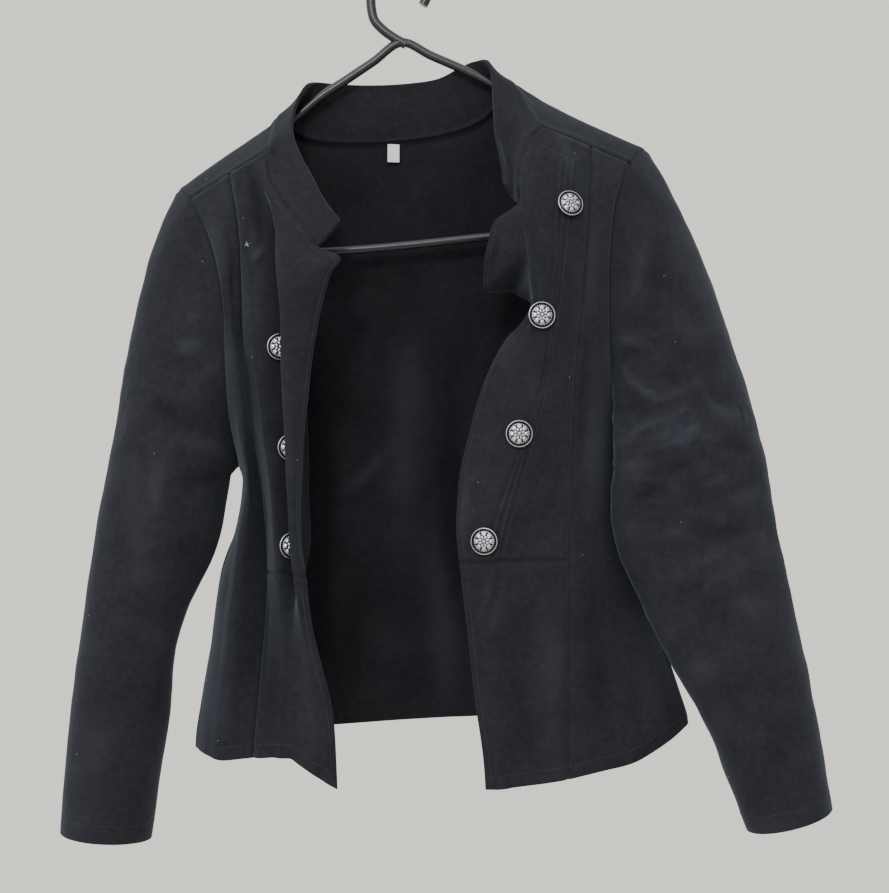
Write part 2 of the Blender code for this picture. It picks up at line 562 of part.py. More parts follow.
walls = {
    "front_centre_r": Wall("front_centre_r", right[:WAIST + 1], -1.0),
    "front_centre_l": Wall("front_centre_l", left[:WAIST + 1], 1.0),
    "peplum_r": Wall("peplum_r", right[WAIST:], -1.0),
    "peplum_l": Wall("peplum_l", left[WAIST:], 1.0),
    "side_front_r": Wall("side_front_r", side_r, 1.0),
    "side_front_l": Wall("side_front_l", side_l, -1.0),
    "back": Wall("back", back, 1.0),
    "sleeve_r": Wall("sleeve_r", cuff_r, -1.0, ring=True),
    "sleeve_l": Wall("sleeve_l", cuff_l, 1.0, ring=True),
    "collar": Wall("collar", collar, -1.0, thick=COLLAR_CLOTH),
}


def fold(wall, row_a, column_a, row_b, column_b, width, height):
    """Raises or sinks a wall along a straight fold that fades out at both ends."""
    a = wall.points[row_a, column_a]
    b = wall.points[row_b, column_b]
    axis = b - a
    rel = wall.points - a
    t = np.clip(rel @ axis / np.dot(axis, axis), 0, 1)
    far = np.linalg.norm(rel - t[..., None] * axis, axis=-1)
    near_side = np.sum(wall.normals * wall.normals[row_a, column_a], axis=-1) > -0.2
    lift = height * np.exp(-(far / width * 2) ** 2) * np.sin(math.pi * np.clip(t, 0.04, 0.96)) ** 0.6
    fixed = np.ones(lift.shape)
    fixed[0] = 0.0
    if not wall.ring:
        fixed[:, 0] = 0.0
        fixed[:, -1] = 0.0
    wall.points = wall.points + wall.normals * (lift * near_side * fixed)[..., None]


for name, row_a, column_a, row_b, column_b, width, height in FOLDS:
    fold(walls[name], row_a, column_a, row_b, column_b, width, height)


def cells(rows_from, rows_to, columns_from, columns_to):
    """Row and column numbers along one edge of a grid."""
    count = max(abs(rows_to - rows_from), abs(columns_to - columns_from)) + 1
    return (np.round(np.linspace(rows_from, rows_to, count)).astype(int),
            np.round(np.linspace(columns_from, columns_to, count)).astype(int))


def sew(a, mine, inside, b, theirs, their_inside):
    """Mates two walls along the seam they share."""
    walls[a].mate(mine, inside, walls[b], theirs)
    walls[b].mate(theirs, their_inside, walls[a], mine)


last = BACK_COLUMNS
up = WAIST
# Princess seams, above and below the waist seam
for s in ("r", "l"):
    sew("front_centre_" + s, cells(0, up, 0, 0), cells(0, up, 1, 1),
        "side_front_" + s, cells(0, up, 0, 0), cells(0, up, 1, 1))
    sew("peplum_" + s, cells(0, HEM - up, 0, 0), cells(0, HEM - up, 1, 1),
        "side_front_" + s, cells(up, HEM, 0, 0), cells(up, HEM, 1, 1))
    wide = walls["front_centre_" + s].points.shape[1] - 1
    sew("front_centre_" + s, cells(up, up, 0, wide), cells(up - 1, up - 1, 0, wide),
        "peplum_" + s, cells(0, 0, 0, wide), cells(1, 1, 0, wide))
    # The side front runs through the waist seam, so it counts twice where three pieces meet
    through = walls["side_front_" + s].normals[up, 0]
    walls["front_centre_" + s].total[up, 0] += through
    walls["peplum_" + s].total[0, 0] += through
    walls["side_front_" + s].total[up, 0] += through
# Shoulder seams
sew("front_centre_r", cells(0, 0, 0, 12), cells(1, 1, 0, 12), "back", cells(0, 0, 2, 4), cells(1, 1, 2, 4))
sew("side_front_r", cells(0, 0, 5, 0), cells(1, 1, 5, 0), "back", cells(0, 0, 0, 2), cells(1, 1, 0, 2))
sew("front_centre_l", cells(0, 0, 8, 0), cells(1, 1, 8, 0), "back", cells(0, 0, 16, 18), cells(1, 1, 16, 18))
sew("side_front_l", cells(0, 0, 0, 5), cells(1, 1, 0, 5), "back", cells(0, 0, 18, 20), cells(1, 1, 18, 20))
# Side seams, and the armholes with both sleeves
for s, column, beside in (("r", 0, 1), ("l", last, last - 1)):
    sew("side_front_" + s, cells(ARMPIT, HEM, 5, 5), cells(ARMPIT, HEM, 4, 4),
        "back", cells(BACK_ARMPIT, BACK_HEM, column, column), cells(BACK_ARMPIT, BACK_HEM, beside, beside))
    sew("side_front_" + s, cells(0, ARMPIT, 5, 5), cells(0, ARMPIT, 4, 4),
        "sleeve_" + s, cells(0, 0, 0, ARMPIT), cells(1, 1, 0, ARMPIT))
    ring = (np.zeros(BACK_ARMPIT + 1, int), np.array(list(range(ARMPIT, ARMPIT + BACK_ARMPIT)) + [0]))
    sew("back", cells(BACK_ARMPIT, 0, column, column), cells(BACK_ARMPIT, 0, beside, beside),
        "sleeve_" + s, ring, (ring[0] + 1, ring[1]))
# Neck seam
sew("collar", cells(0, 0, 0, 6), cells(1, 1, 0, 6), "front_centre_r", cells(6, 0, 12, 12), cells(6, 0, 11, 11))
sew("collar", cells(0, 0, 6, 18), cells(1, 1, 6, 18), "back", cells(0, 0, 4, 16), cells(1, 1, 4, 16))
sew("collar", cells(0, 0, 18, 23), cells(1, 1, 18, 23), "front_centre_l", cells(0, 5, 8, 8), cells(0, 5, 7, 7))

for wall in walls.values():
    wall.settle()
# A little more room where a corner of three pieces is sharp
for s, outward in (("r", -1.0), ("l", 1.0)):
    walls["sleeve_" + s].points[0, ARMPIT - 1:ARMPIT + 2] += (0.6 * outward, 0.0, 0.0)
    walls["sleeve_" + s].points[0, ARMPIT] += (0.9 * outward, 0.0, 0.3)
walls["front_centre_r"].points[0:2, 12] += (-0.35, 0.0, 0.0)
for wall in walls.values():
    wall.build()


def laid_on(name, host, row_range, column_range, outside):
    """Strip made from a wall's own points, moved out to lie on it."""
    thick = BAND_CLOTH
    rows_from, rows_to = row_range
    columns_from, columns_to = column_range
    part = (slice(rows_from, rows_to + 1), slice(columns_from, columns_to + 1))
    lift = host.thick / 2 + GAP + BAND_CLEAR + thick / 2
    points = host.points[part].copy()
    points[:, 0] = between(points[:, 0], points[:, 1], 0.12)
    points[:, -1] = between(points[:, -1], points[:, -2], 0.4)
    facing = host.normals[part].copy()
    facing[:, -1] = unit(between(facing[:, -1], facing[:, -2], 0.6))
    strip = Wall(name, points + facing * lift, outside, thick=thick)
    strip.normals = facing
    strip.build()
    return strip


bands = {"r": laid_on("button_band_r", walls["front_centre_r"], (1, WAIST - 1), (2, 4), -1.0),
         "l": laid_on("button_band_l", walls["front_centre_l"], (1, WAIST), (2, 5), 1.0)}


def on_wall(wall, across, down):
    """Point and direction of a wall where a line of sight meets it."""
    fine = 8
    rows_in, columns_in = wall.points.shape[:2]
    best = None
    for i in range(rows_in - 1):
        for j in range(columns_in - 1):
            for u in range(fine):
                for v in range(fine):
                    a, b = u / fine, v / fine
                    point = between(between(wall.points[i, j], wall.points[i, j + 1], b),
                                    between(wall.points[i + 1, j], wall.points[i + 1, j + 1], b), a)
                    far = np.linalg.norm(sighted(point) - (across, down))
                    if best is None or far < best[0]:
                        best = (far, point, unit(between(wall.normals[i, j], wall.normals[i + 1, j + 1], 0.5)))
    return best[1], best[2]


def button(name, point, facing):
    """Round shank button turned from its half profile, facing out of the cloth."""
    mesh = bpy.data.meshes.new(name)
    points = [(r * MM, 0.0, h * MM) for r, h in BUTTON_PROFILE]
    mesh.from_pydata(points, [(k, k + 1) for k in range(len(points) - 1)], [])
    obj = bpy.data.objects.new(name, mesh)
    made.objects.link(obj)
    screw = obj.modifiers.new("turn", "SCREW")
    screw.axis = "Z"
    screw.steps = 20
    screw.render_steps = 20
    screw.use_merge_vertices = True
    screw.merge_threshold = 0.00001
    screw.use_normal_calculate = True
    tilt = math.acos(max(-1.0, min(1.0, facing[2])))
    turn = math.atan2(facing[1], facing[0])
    obj.rotation_euler = (0.0, tilt, turn)
    obj.location = tuple(point * MM)
    material(obj, METAL_COLOUR, 0.35, 1.0)


for name, side_name, across, down in BUTTONS:
    band_wall = bands[side_name]
    point, facing = on_wall(band_wall, across, down)
    button(name, point + facing * (BAND_CLOTH / 2 + GAP + SHANK_CLEAR), facing)


def tube(name, path, closed, collection, radius=TUBE):
    """Round tube along a path in the hanger's plane."""
    curve = bpy.data.curves.new(name, "CURVE")
    curve.dimensions = "3D"
    curve.bevel_depth = radius * MM
    curve.bevel_resolution = 2
    curve.use_fill_caps = not closed
    run = curve.splines.new("POLY")
    run.points.add(len(path) - 1)
    for spot, (across, down) in zip(run.points, path):
        spot.co = (*(place(across, down, 0.0) * MM), 1.0)
    run.use_cyclic_u = closed
    source = bpy.data.objects.new(name + "_path", curve)
    bpy.context.scene.collection.objects.link(source)
    bpy.context.view_layer.update()
    mesh = bpy.data.meshes.new_from_object(source.evaluated_get(bpy.context.evaluated_depsgraph_get()))
    bpy.data.objects.remove(source, do_unlink=True)
    obj = bpy.data.objects.new(name, mesh)
    collection.objects.link(obj)
    weld = obj.modifiers.new("weld", "WELD")
    weld.merge_threshold = 0.00001
    material(obj, PLASTIC_COLOUR, 0.35)
    return obj


frame = tube("hanger", ARM_R + ARM_L, True, made)
hook = tube("hook_tool", HOOK, False, helpers, HOOK_TUBE)
hook.hide_render = True
hook.display_type = "WIRE"
join = frame.modifiers.new("join_hook", "BOOLEAN")
join.operation = "UNION"
join.solver = "EXACT"
join.object = hook

# Size label, a small folded tab that hangs from the back neck seam
label_spot = walls["back"].points[2, 10]
label_points = np.zeros((4, 3, 3))
for i in range(4):
    for j in range(3):
        label_points[i, j] = label_spot + (-10 + 5 * j, -2.4 - 0.7 * i, 3.2 - 5.2 * i - 0.2 * j)
Wall("size_label", label_points, -1.0, thick=0.8, colour=LABEL_COLOUR).build()
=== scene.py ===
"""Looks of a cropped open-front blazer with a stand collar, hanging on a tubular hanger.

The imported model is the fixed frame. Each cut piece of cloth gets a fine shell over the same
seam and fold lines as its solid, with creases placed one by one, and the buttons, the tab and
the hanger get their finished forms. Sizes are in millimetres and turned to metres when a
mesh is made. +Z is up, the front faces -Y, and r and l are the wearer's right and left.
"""
from __future__ import annotations

import copy
import logging
import math
from dataclasses import dataclass, field
from enum import Enum

import bmesh
import bpy
import numpy as np
from mathutils import Matrix, Vector, noise

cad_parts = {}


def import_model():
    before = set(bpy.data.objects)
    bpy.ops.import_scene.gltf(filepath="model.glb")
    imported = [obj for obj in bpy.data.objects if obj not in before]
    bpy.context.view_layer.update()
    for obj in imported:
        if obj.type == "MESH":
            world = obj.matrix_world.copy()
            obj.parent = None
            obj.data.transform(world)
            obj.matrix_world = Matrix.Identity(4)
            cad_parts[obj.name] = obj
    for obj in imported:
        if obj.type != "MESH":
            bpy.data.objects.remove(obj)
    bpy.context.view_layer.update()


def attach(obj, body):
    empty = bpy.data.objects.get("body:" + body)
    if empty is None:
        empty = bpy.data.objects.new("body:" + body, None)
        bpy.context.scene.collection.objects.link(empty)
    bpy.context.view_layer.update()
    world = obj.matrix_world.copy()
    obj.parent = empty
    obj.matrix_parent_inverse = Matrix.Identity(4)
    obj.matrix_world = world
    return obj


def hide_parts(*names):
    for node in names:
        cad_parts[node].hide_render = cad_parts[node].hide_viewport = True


log = logging.getLogger("blazer")

MM = 0.001
# Rows of the grids: the fronts' waist seam, hem and armpit, the back's armpit and hem, its last
# column and the two that the neck lies between, and the last rows of a sleeve and of its cap
WAIST = 20
HEM = 29
ARMPIT = 13
BACK_ARMPIT = 14
BACK_HEM = 30
BACK_COLUMNS = 20
NECK_R = 4
NECK_L = 16
SLEEVE_ROWS = 22
CAP_ROWS = 8
# First row of a side front that lies beside its sleeve
BESIDE_SLEEVE = 8
# The left sleeve bulges over its armpit: row, column and their spreads, and the move in mm
ARMPIT_BULGE = (4.5, 11.0, 3.2, 2.4)
ARMPIT_MOVE = (-9.0, -9.0, 0.0)
# Where the princess seam starts on the shoulder seam: on the right from the shoulder's tip, on
# the left from the neck
PRINCESS_SHARE_R = 0.5
PRINCESS_SHARE_L = 0.567
# Below this row the back's hem rises towards its middle, by so many mm
RISE_ROW = 22
HEM_RISE = 9.0
# How far a sleeve's crown leans out, and how straight its cap runs into the sleeve
CROWN_OUT = 0.24
CAP_FALL = 0.8
# Thickness in mm of the cloth, of the collar's two layers, of a band and of the tab
CLOTH_THICK = 1.1
COLLAR_THICK = 2.6
BAND_THICK = 1.0
TAB_THICK = 0.5
# Distances in mm from an edge of a shell's first lines, and where its even lines start
CLOSE_LINES = (0.9, 1.9, 3.0, 4.2)
EVEN_FROM = 5.2
# Distance in mm from a seam at which the cloth is free, and depth and width of a seam's groove
SEAM_HOLD = 9.0
SEAM_DEPTH = 0.9
SEAM_WIDTH = 1.7
# The swelling beside a seam: height, distance and width in mm
SEAM_SWELL = (0.35, 4.2, 2.4)
# Share of a band's lift that is left at its edges, and its rise from a short end in mm
EDGE_SHARE = 0.12
END_EASE = 12.0
# Short wrinkles: how close they lie along each axis, how sharp they are, their seed, and the
# height in mm at which the cloth counts as fully crushed
WRINKLE_CLOSE = (1.0, 1.0, 1.7)
WRINKLE_SHARP = 7
WRINKLE_SEED = 5.3
FULL_CRUSH = 1.4
# How strongly the broad faces set the shading at a thin rim
RIM_WEIGHT = 90

# Line tables, a row for each measured place: row of the grid, across, down, depth
EDGE_R = [(0, 268, 148, -32), (1, 267, 165, -38), (2, 270, 182, -45), (3, 280, 198, -53),
          (4, 293, 214, -60), (5, 306, 230, -66), (6, 318, 246, -71), (7, 340, 257, -75),
          (8, 331, 272, -77), (9, 325, 292, -78), (10, 319, 316, -80), (11, 314, 342, -81),
          (12, 310, 368, -82), (13, 307, 395, -83), (14, 304, 422, -83), (15, 302, 448, -84),
          (16, 301, 472, -84), (17, 300, 496, -84), (18, 300, 520, -83), (19, 301, 545, -82),
          (20, 305, 575, -80), (22, 311, 624, -76), (24, 321, 665, -72), (26, 332, 711, -66),
          (28, 336, 765, -60), (29, 337, 789, -58)]
CREASE_R = [(1, 262, 168, -39), (2, 266, 185, -47), (3, 270, 202, -54), (4, 274, 222, -62),
            (5, 275.5, 240, -69), (6, 276, 258, -76), (7, 277.5, 280, -82), (8, 279, 300, -86),
            (9, 280, 320, -88), (11, 281, 364, -91), (13, 283.5, 412, -92), (15, 285.5, 456, -92),
            (17, 287.5, 500, -92), (19, 290, 548, -89), (20, 293, 575, -85), (21, 297, 598, -82),
            (23, 305, 645, -76), (26, 314, 712, -68), (29, 314, 775, -59)]
UNDER_R = [(1, 255, 174, -38), (2, 261, 191, -43), (3, 269, 206, -47), (4, 279, 226, -51),
           (5, 287, 244, -53), (6, 293, 262, -54), (8, 300, 302, -54), (10, 303, 344, -53),
           (12, 305, 390, -52), (15, 307, 456, -52), (17, 308, 502, -52), (19, 309, 549, -53),
           (20, 303, 574, -56), (21, 295, 595, -61), (23, 292, 640, -66), (26, 292, 704, -63),
           (29, 290, 758, -58)]
RIDGE_R = [(3, 247, 212, -50), (7, 253, 295, -57), (10, 256, 350, -60), (13, 262, 412, -62),
           (16, 269, 475, -62), (18, 273, 522, -62), (20, 277, 571, -61), (23, 278, 632, -60),
           (26, 276, 698, -58), (29, 272, 757, -54)]
PRINCESS_R = [(3, 237, 222, -45), (7, 241, 300, -47), (10, 243, 355, -43), (13, 249, 415, -38),
              (16, 260, 478, -33), (18, 265, 525, -31), (20, 267, 571, -31), (22, 265, 612, -33),
              (24, 261, 655, -38), (26, 257, 700, -43), (29, 252, 757, -47)]
HIP_R = [(3, 224, 232, -47), (7, 231, 305, -53), (10, 234, 360, -53), (13, 241, 425, -50),
         (16, 248, 482, -49), (20, 240, 563, -51), (23, 234, 628, -53), (26, 229, 690, -54),
         (29, 222, 760, -50)]
SIDE_R = [(0, 190, 198, -22), (1, 197, 212, -29), (2, 204, 227, -34), (3, 210, 243, -38),
          (4, 215, 261, -40), (5, 219, 281, -42), (6, 222, 302, -43), (7, 224, 324, -43),
          (8, 225, 347, -42), (9, 226.5, 371, -40), (10, 228, 395, -36), (11, 230, 419, -29),
          (12, 234, 443, -16), (13, 240, 464, 1), (15, 246, 490, 8), (17, 239, 522, 10),
          (20, 222, 567, 9), (22, 216, 605, 6), (24, 211, 645, 2), (26, 203, 690, -2),
          (28, 196, 730, -4), (29, 195, 745, -4)]
EDGE_L = [(0, 539, 124, -34), (1, 530, 136, -40), (2, 523, 150, -46), (3, 519, 165, -54),
          (4, 518, 184, -62), (5, 518, 203, -66), (6, 495, 221, -56), (7, 487, 243, -56),
          (8, 483, 267, -55), (9, 485, 291, -48), (10, 509, 291, -26), (11, 530, 303, -40),
          (12, 527, 322, -64), (13, 503, 345, -68), (14, 488, 373, -72), (15, 476, 405, -76),
          (16, 467, 440, -78), (17, 460, 470, -80), (18, 457, 500, -82), (19, 456, 532, -82),
          (20, 459, 562, -80), (22, 464, 607, -76), (24, 469, 650, -72), (26, 475, 702, -66),
          (28, 483, 760, -60), (29, 485, 789, -58)]
CREASE_L = [(1, 540, 143, -44), (2, 532, 160, -53), (3, 527, 178, -60), (4, 524, 195, -66),
            (5, 522, 207, -70), (6, 521, 215, -72), (7, 522, 228, -72), (8, 524, 239, -72),
            (9, 525, 249, -72), (10, 528, 264, -71), (11, 531, 281, -72), (12, 532, 299, -74),
            (13, 528, 318, -77), (14, 517, 345, -79), (15, 507, 380, -81), (16, 499, 418, -82),
            (17, 491, 458, -83), (18, 484, 497, -84), (19, 480, 532, -84), (20, 479, 562, -83),
            (23, 480, 634, -76), (26, 487, 708, -68), (29, 497, 789, -58)]
BAND_L = [(3, 569, 204, -58), (7, 561, 290, -70), (10, 553, 350, -75), (14, 537, 425, -80),
          (17, 519, 492, -83), (20, 503, 560, -84), (23, 500, 632, -76), (26, 505, 706, -68),
          (29, 512, 787, -58)]
PRINCESS_L = [(3, 588, 205, -50), (7, 582, 290, -62), (10, 576, 350, -66), (14, 571, 432, -68),
              (17, 569, 495, -68), (20, 567, 559, -67), (23, 567, 632, -63), (26, 567, 705, -57),
              (29, 567, 779, -50)]
HIP_L = [(3, 602, 205, -47), (7, 596, 292, -56), (10, 595, 355, -56), (13, 597, 428, -50),
         (16, 602, 490, -46), (20, 608, 562, -44), (23, 617, 628, -44), (26, 626, 695, -42),
         (29, 632, 763, -38)]
SIDE_L = [(0, 629, 163, -22), (1, 623, 177, -28), (2, 618, 192, -33), (3, 614, 210, -37),
          (4, 611.5, 230, -40), (5, 610, 252, -42), (6, 609, 275, -43), (7, 609, 299, -43),
          (8, 609, 323, -42), (9, 609.5, 347, -40), (10, 610.5, 371, -36), (11, 613, 396, -29),
          (12, 618, 422, -16), (13, 626, 446, 1), (16, 637, 500, 10), (18, 643, 535, 12),
          (20, 648, 565, 12), (22, 655, 610, 8), (24, 668, 655, 3), (26, 680, 692, -2),
          (28, 687, 714, -4), (29, 688, 722, -4)]
BACK_ARM_R = [(0, 190, 198, -22), (1, 183, 192, -11), (2, 178.5, 190, 0), (3, 177, 196, 10),
              (4, 178, 210, 17), (6, 184, 250, 24), (8, 191, 300, 28), (10, 200, 350, 26),
              (12, 214, 405, 20), (13, 227, 440, 13), (14, 240, 464, 1)]
BACK_ARM_L = [(0, 629, 163, -22), (1, 637, 154, -11), (2, 643, 149, 0), (3, 648, 154, 10),
              (4, 650, 167, 17), (6, 649, 207, 24), (8, 646, 257, 28), (10, 642, 312, 27),
              (12, 637, 385, 20), (13, 632, 420, 13), (14, 626, 446, 1)]
# The neck seam across the back, a row for each column: column, across, down, depth
BACK_NECK = [(4, 268, 148, -32), (5, 271, 133, -16), (6, 277, 118, 0), (7, 288, 127, 11),
             (8, 313, 140, 17), (9, 356, 143, 20), (10, 399, 141, 20), (11, 441, 135, 20),
             (12, 480, 121, 17), (13, 505, 94, 11), (14, 514, 84, 0), (15, 528, 105, -18),
             (16, 539, 124, -34)]
# The line over the shoulders and below the neck seam: column, across, down, depth
BACK_RIDGE = [(0, 178.5, 190, 0), (4, 260, 132, 0), (5, 269, 126.5, 1), (6, 277, 121, 6),
              (7, 287, 134, 15), (8, 313, 147, 19), (9, 356, 150, 21), (10, 399, 148, 21),
              (11, 441, 142, 21), (12, 481, 128, 19), (13, 506, 101, 15), (14, 515, 88, 6),
              (15, 529, 94, 1), (16, 546, 104, 0), (20, 643, 149, 0)]
# The collar, a row for each place along it from the r end: place, across, down, depth of the
# top edge, then how far the middle stands out of the straight line, in mm
COLLAR_TOP = [(0, 340, 220, -70, 1.0), (1, 331, 209, -66, 1.5), (2, 322, 196, -60, 2.0),
              (3, 312, 176, -52, 2.0), (4, 302, 158, -43, 2.0), (5, 294, 140, -34, 2.0),
              (6, 292, 124, -25, 2.0), (7, 296, 104, -15, 2.0), (8, 305, 86, -7, 2.0),
              (9, 316, 82, 6, 1.5), (10, 337, 84, 12, 1.0), (11, 366, 85, 12, 1.0),
              (12, 400, 84, 13, 1.0), (13, 436, 79, 12, 1.0), (14, 460, 67, 9, 1.0),
              (15, 475, 61, 7, 1.5), (16, 488, 62, -7, 2.0), (17, 492, 82, -16, 3.0),
              (18, 493, 106, -27, 4.0), (19, 494, 126, -36, 6.0), (20, 496, 140, -43, 7.0),
              (21, 499, 152, -49, 7.0), (22, 502, 168, -55, 7.0), (23, 504, 183, -60, 7.0)]
# The back's depth by height, in the middle and beside the side seams: down, middle, sides
BACK_DEPTH = [(130, 19, 12), (220, 22, 21), (300, 24, 25), (380, 25, 23), (460, 24, 17),
              (540, 22, 13), (620, 21, 8), (680, 23, 2), (740, 25, -4)]
# Sleeve sections: outer edge across, down, depth, inner edge across, down, depth, half depth
SLEEVE_R = [(113, 451, -4, 228, 480, -18, 40), (103, 505, -8, 220, 525, -28, 37),
            (94, 555, -12, 209, 562, -24, 35), (86, 610, -16, 184, 612, -25, 34),
            (78, 665, -21, 172, 662, -28, 34), (72, 718, -26, 168.5, 715, -31, 35),
            (66, 772, -31, 159.5, 772, -33, 35), (62, 829, -34, 150, 837, -36, 34)]
SLEEVE_L = [(757, 447, 2, 616, 478, -52, 34), (768, 492, 4, 613, 512, -58, 27),
            (776, 543, 0, 620, 556, -56, 24), (787, 590, -5, 641, 599, -53, 26),
            (797, 640, -12, 664, 648, -46, 29), (808, 690, -20, 690, 692, -42, 32),
            (819, 745, -27, 715, 745, -38, 33), (830, 805, -33, 747, 829, -36, 34)]
# Largest folds: piece, row and column of the start, of the end, width in mm, height in mm
FOLDS = [("back", 9, 13, 24, 11, 44, -8.0), ("back", 8, 5, 24, 7, 40, -6.0),
         ("back", 17, 3, 30, 4, 38, 6.0), ("back", 17, 16, 30, 17, 40, 7.0),
         ("sleeve_l", 5, 3, 9, 9, 26, -5.0), ("sleeve_l", 9, 2, 12, 9, 26, -5.0),
         ("sleeve_l", 10, 16, 12, 23, 30, -4.5), ("sleeve_r", 9, 4, 12, 10, 28, -4.0),
         ("sleeve_r", 10, 17, 12, 23, 30, -4.5)]
# The hanger's arms, ends and bar, in its own flat plane: across, down
ARM_R = [(402, 42), (372, 62), (345, 80), (318, 98), (303, 110.5), (279, 130.5), (260, 143),
         (230, 163.5), (203, 182.5), (195, 190), (188, 200), (185, 213), (189, 228), (199, 241),
         (214, 248), (232, 249.6)]
ARM_L = [(566, 229.6), (596, 228), (616, 223), (632, 210), (642, 193), (645, 176), (641, 162),
         (630, 152), (612, 143.5), (580, 129), (546, 113), (528, 104), (514, 96), (487, 81),
         (460, 68), (430, 55)]
HOOK = [(405.5, 44.3), (392, 36.5), (382, 29), (374, 20), (371, 8), (370.5, -8), (372.5, -22),
        (379, -34), (388.5, -40.5), (399, -42.5), (409.5, -40.5), (419, -34), (425.5, -23),
        (427.3, -12), (425.5, -1), (421, 7)]
BUTTONS = ("button_l1", "button_l2", "button_l3", "button_l4", "button_r2", "button_r3", "button_r4")
# Half profile of a button outside its dome, round the rim to the back: radius, height
BUTTON_RIM = [(8.7, 2.9), (9.0, 2.5), (9.4, 2.6), (9.7, 3.3), (10.1, 3.6), (10.5, 3.4),
              (10.7, 2.9), (10.5, 2.2), (10.2, 1.8), (2.6, 1.5), (2.6, 0.0)]
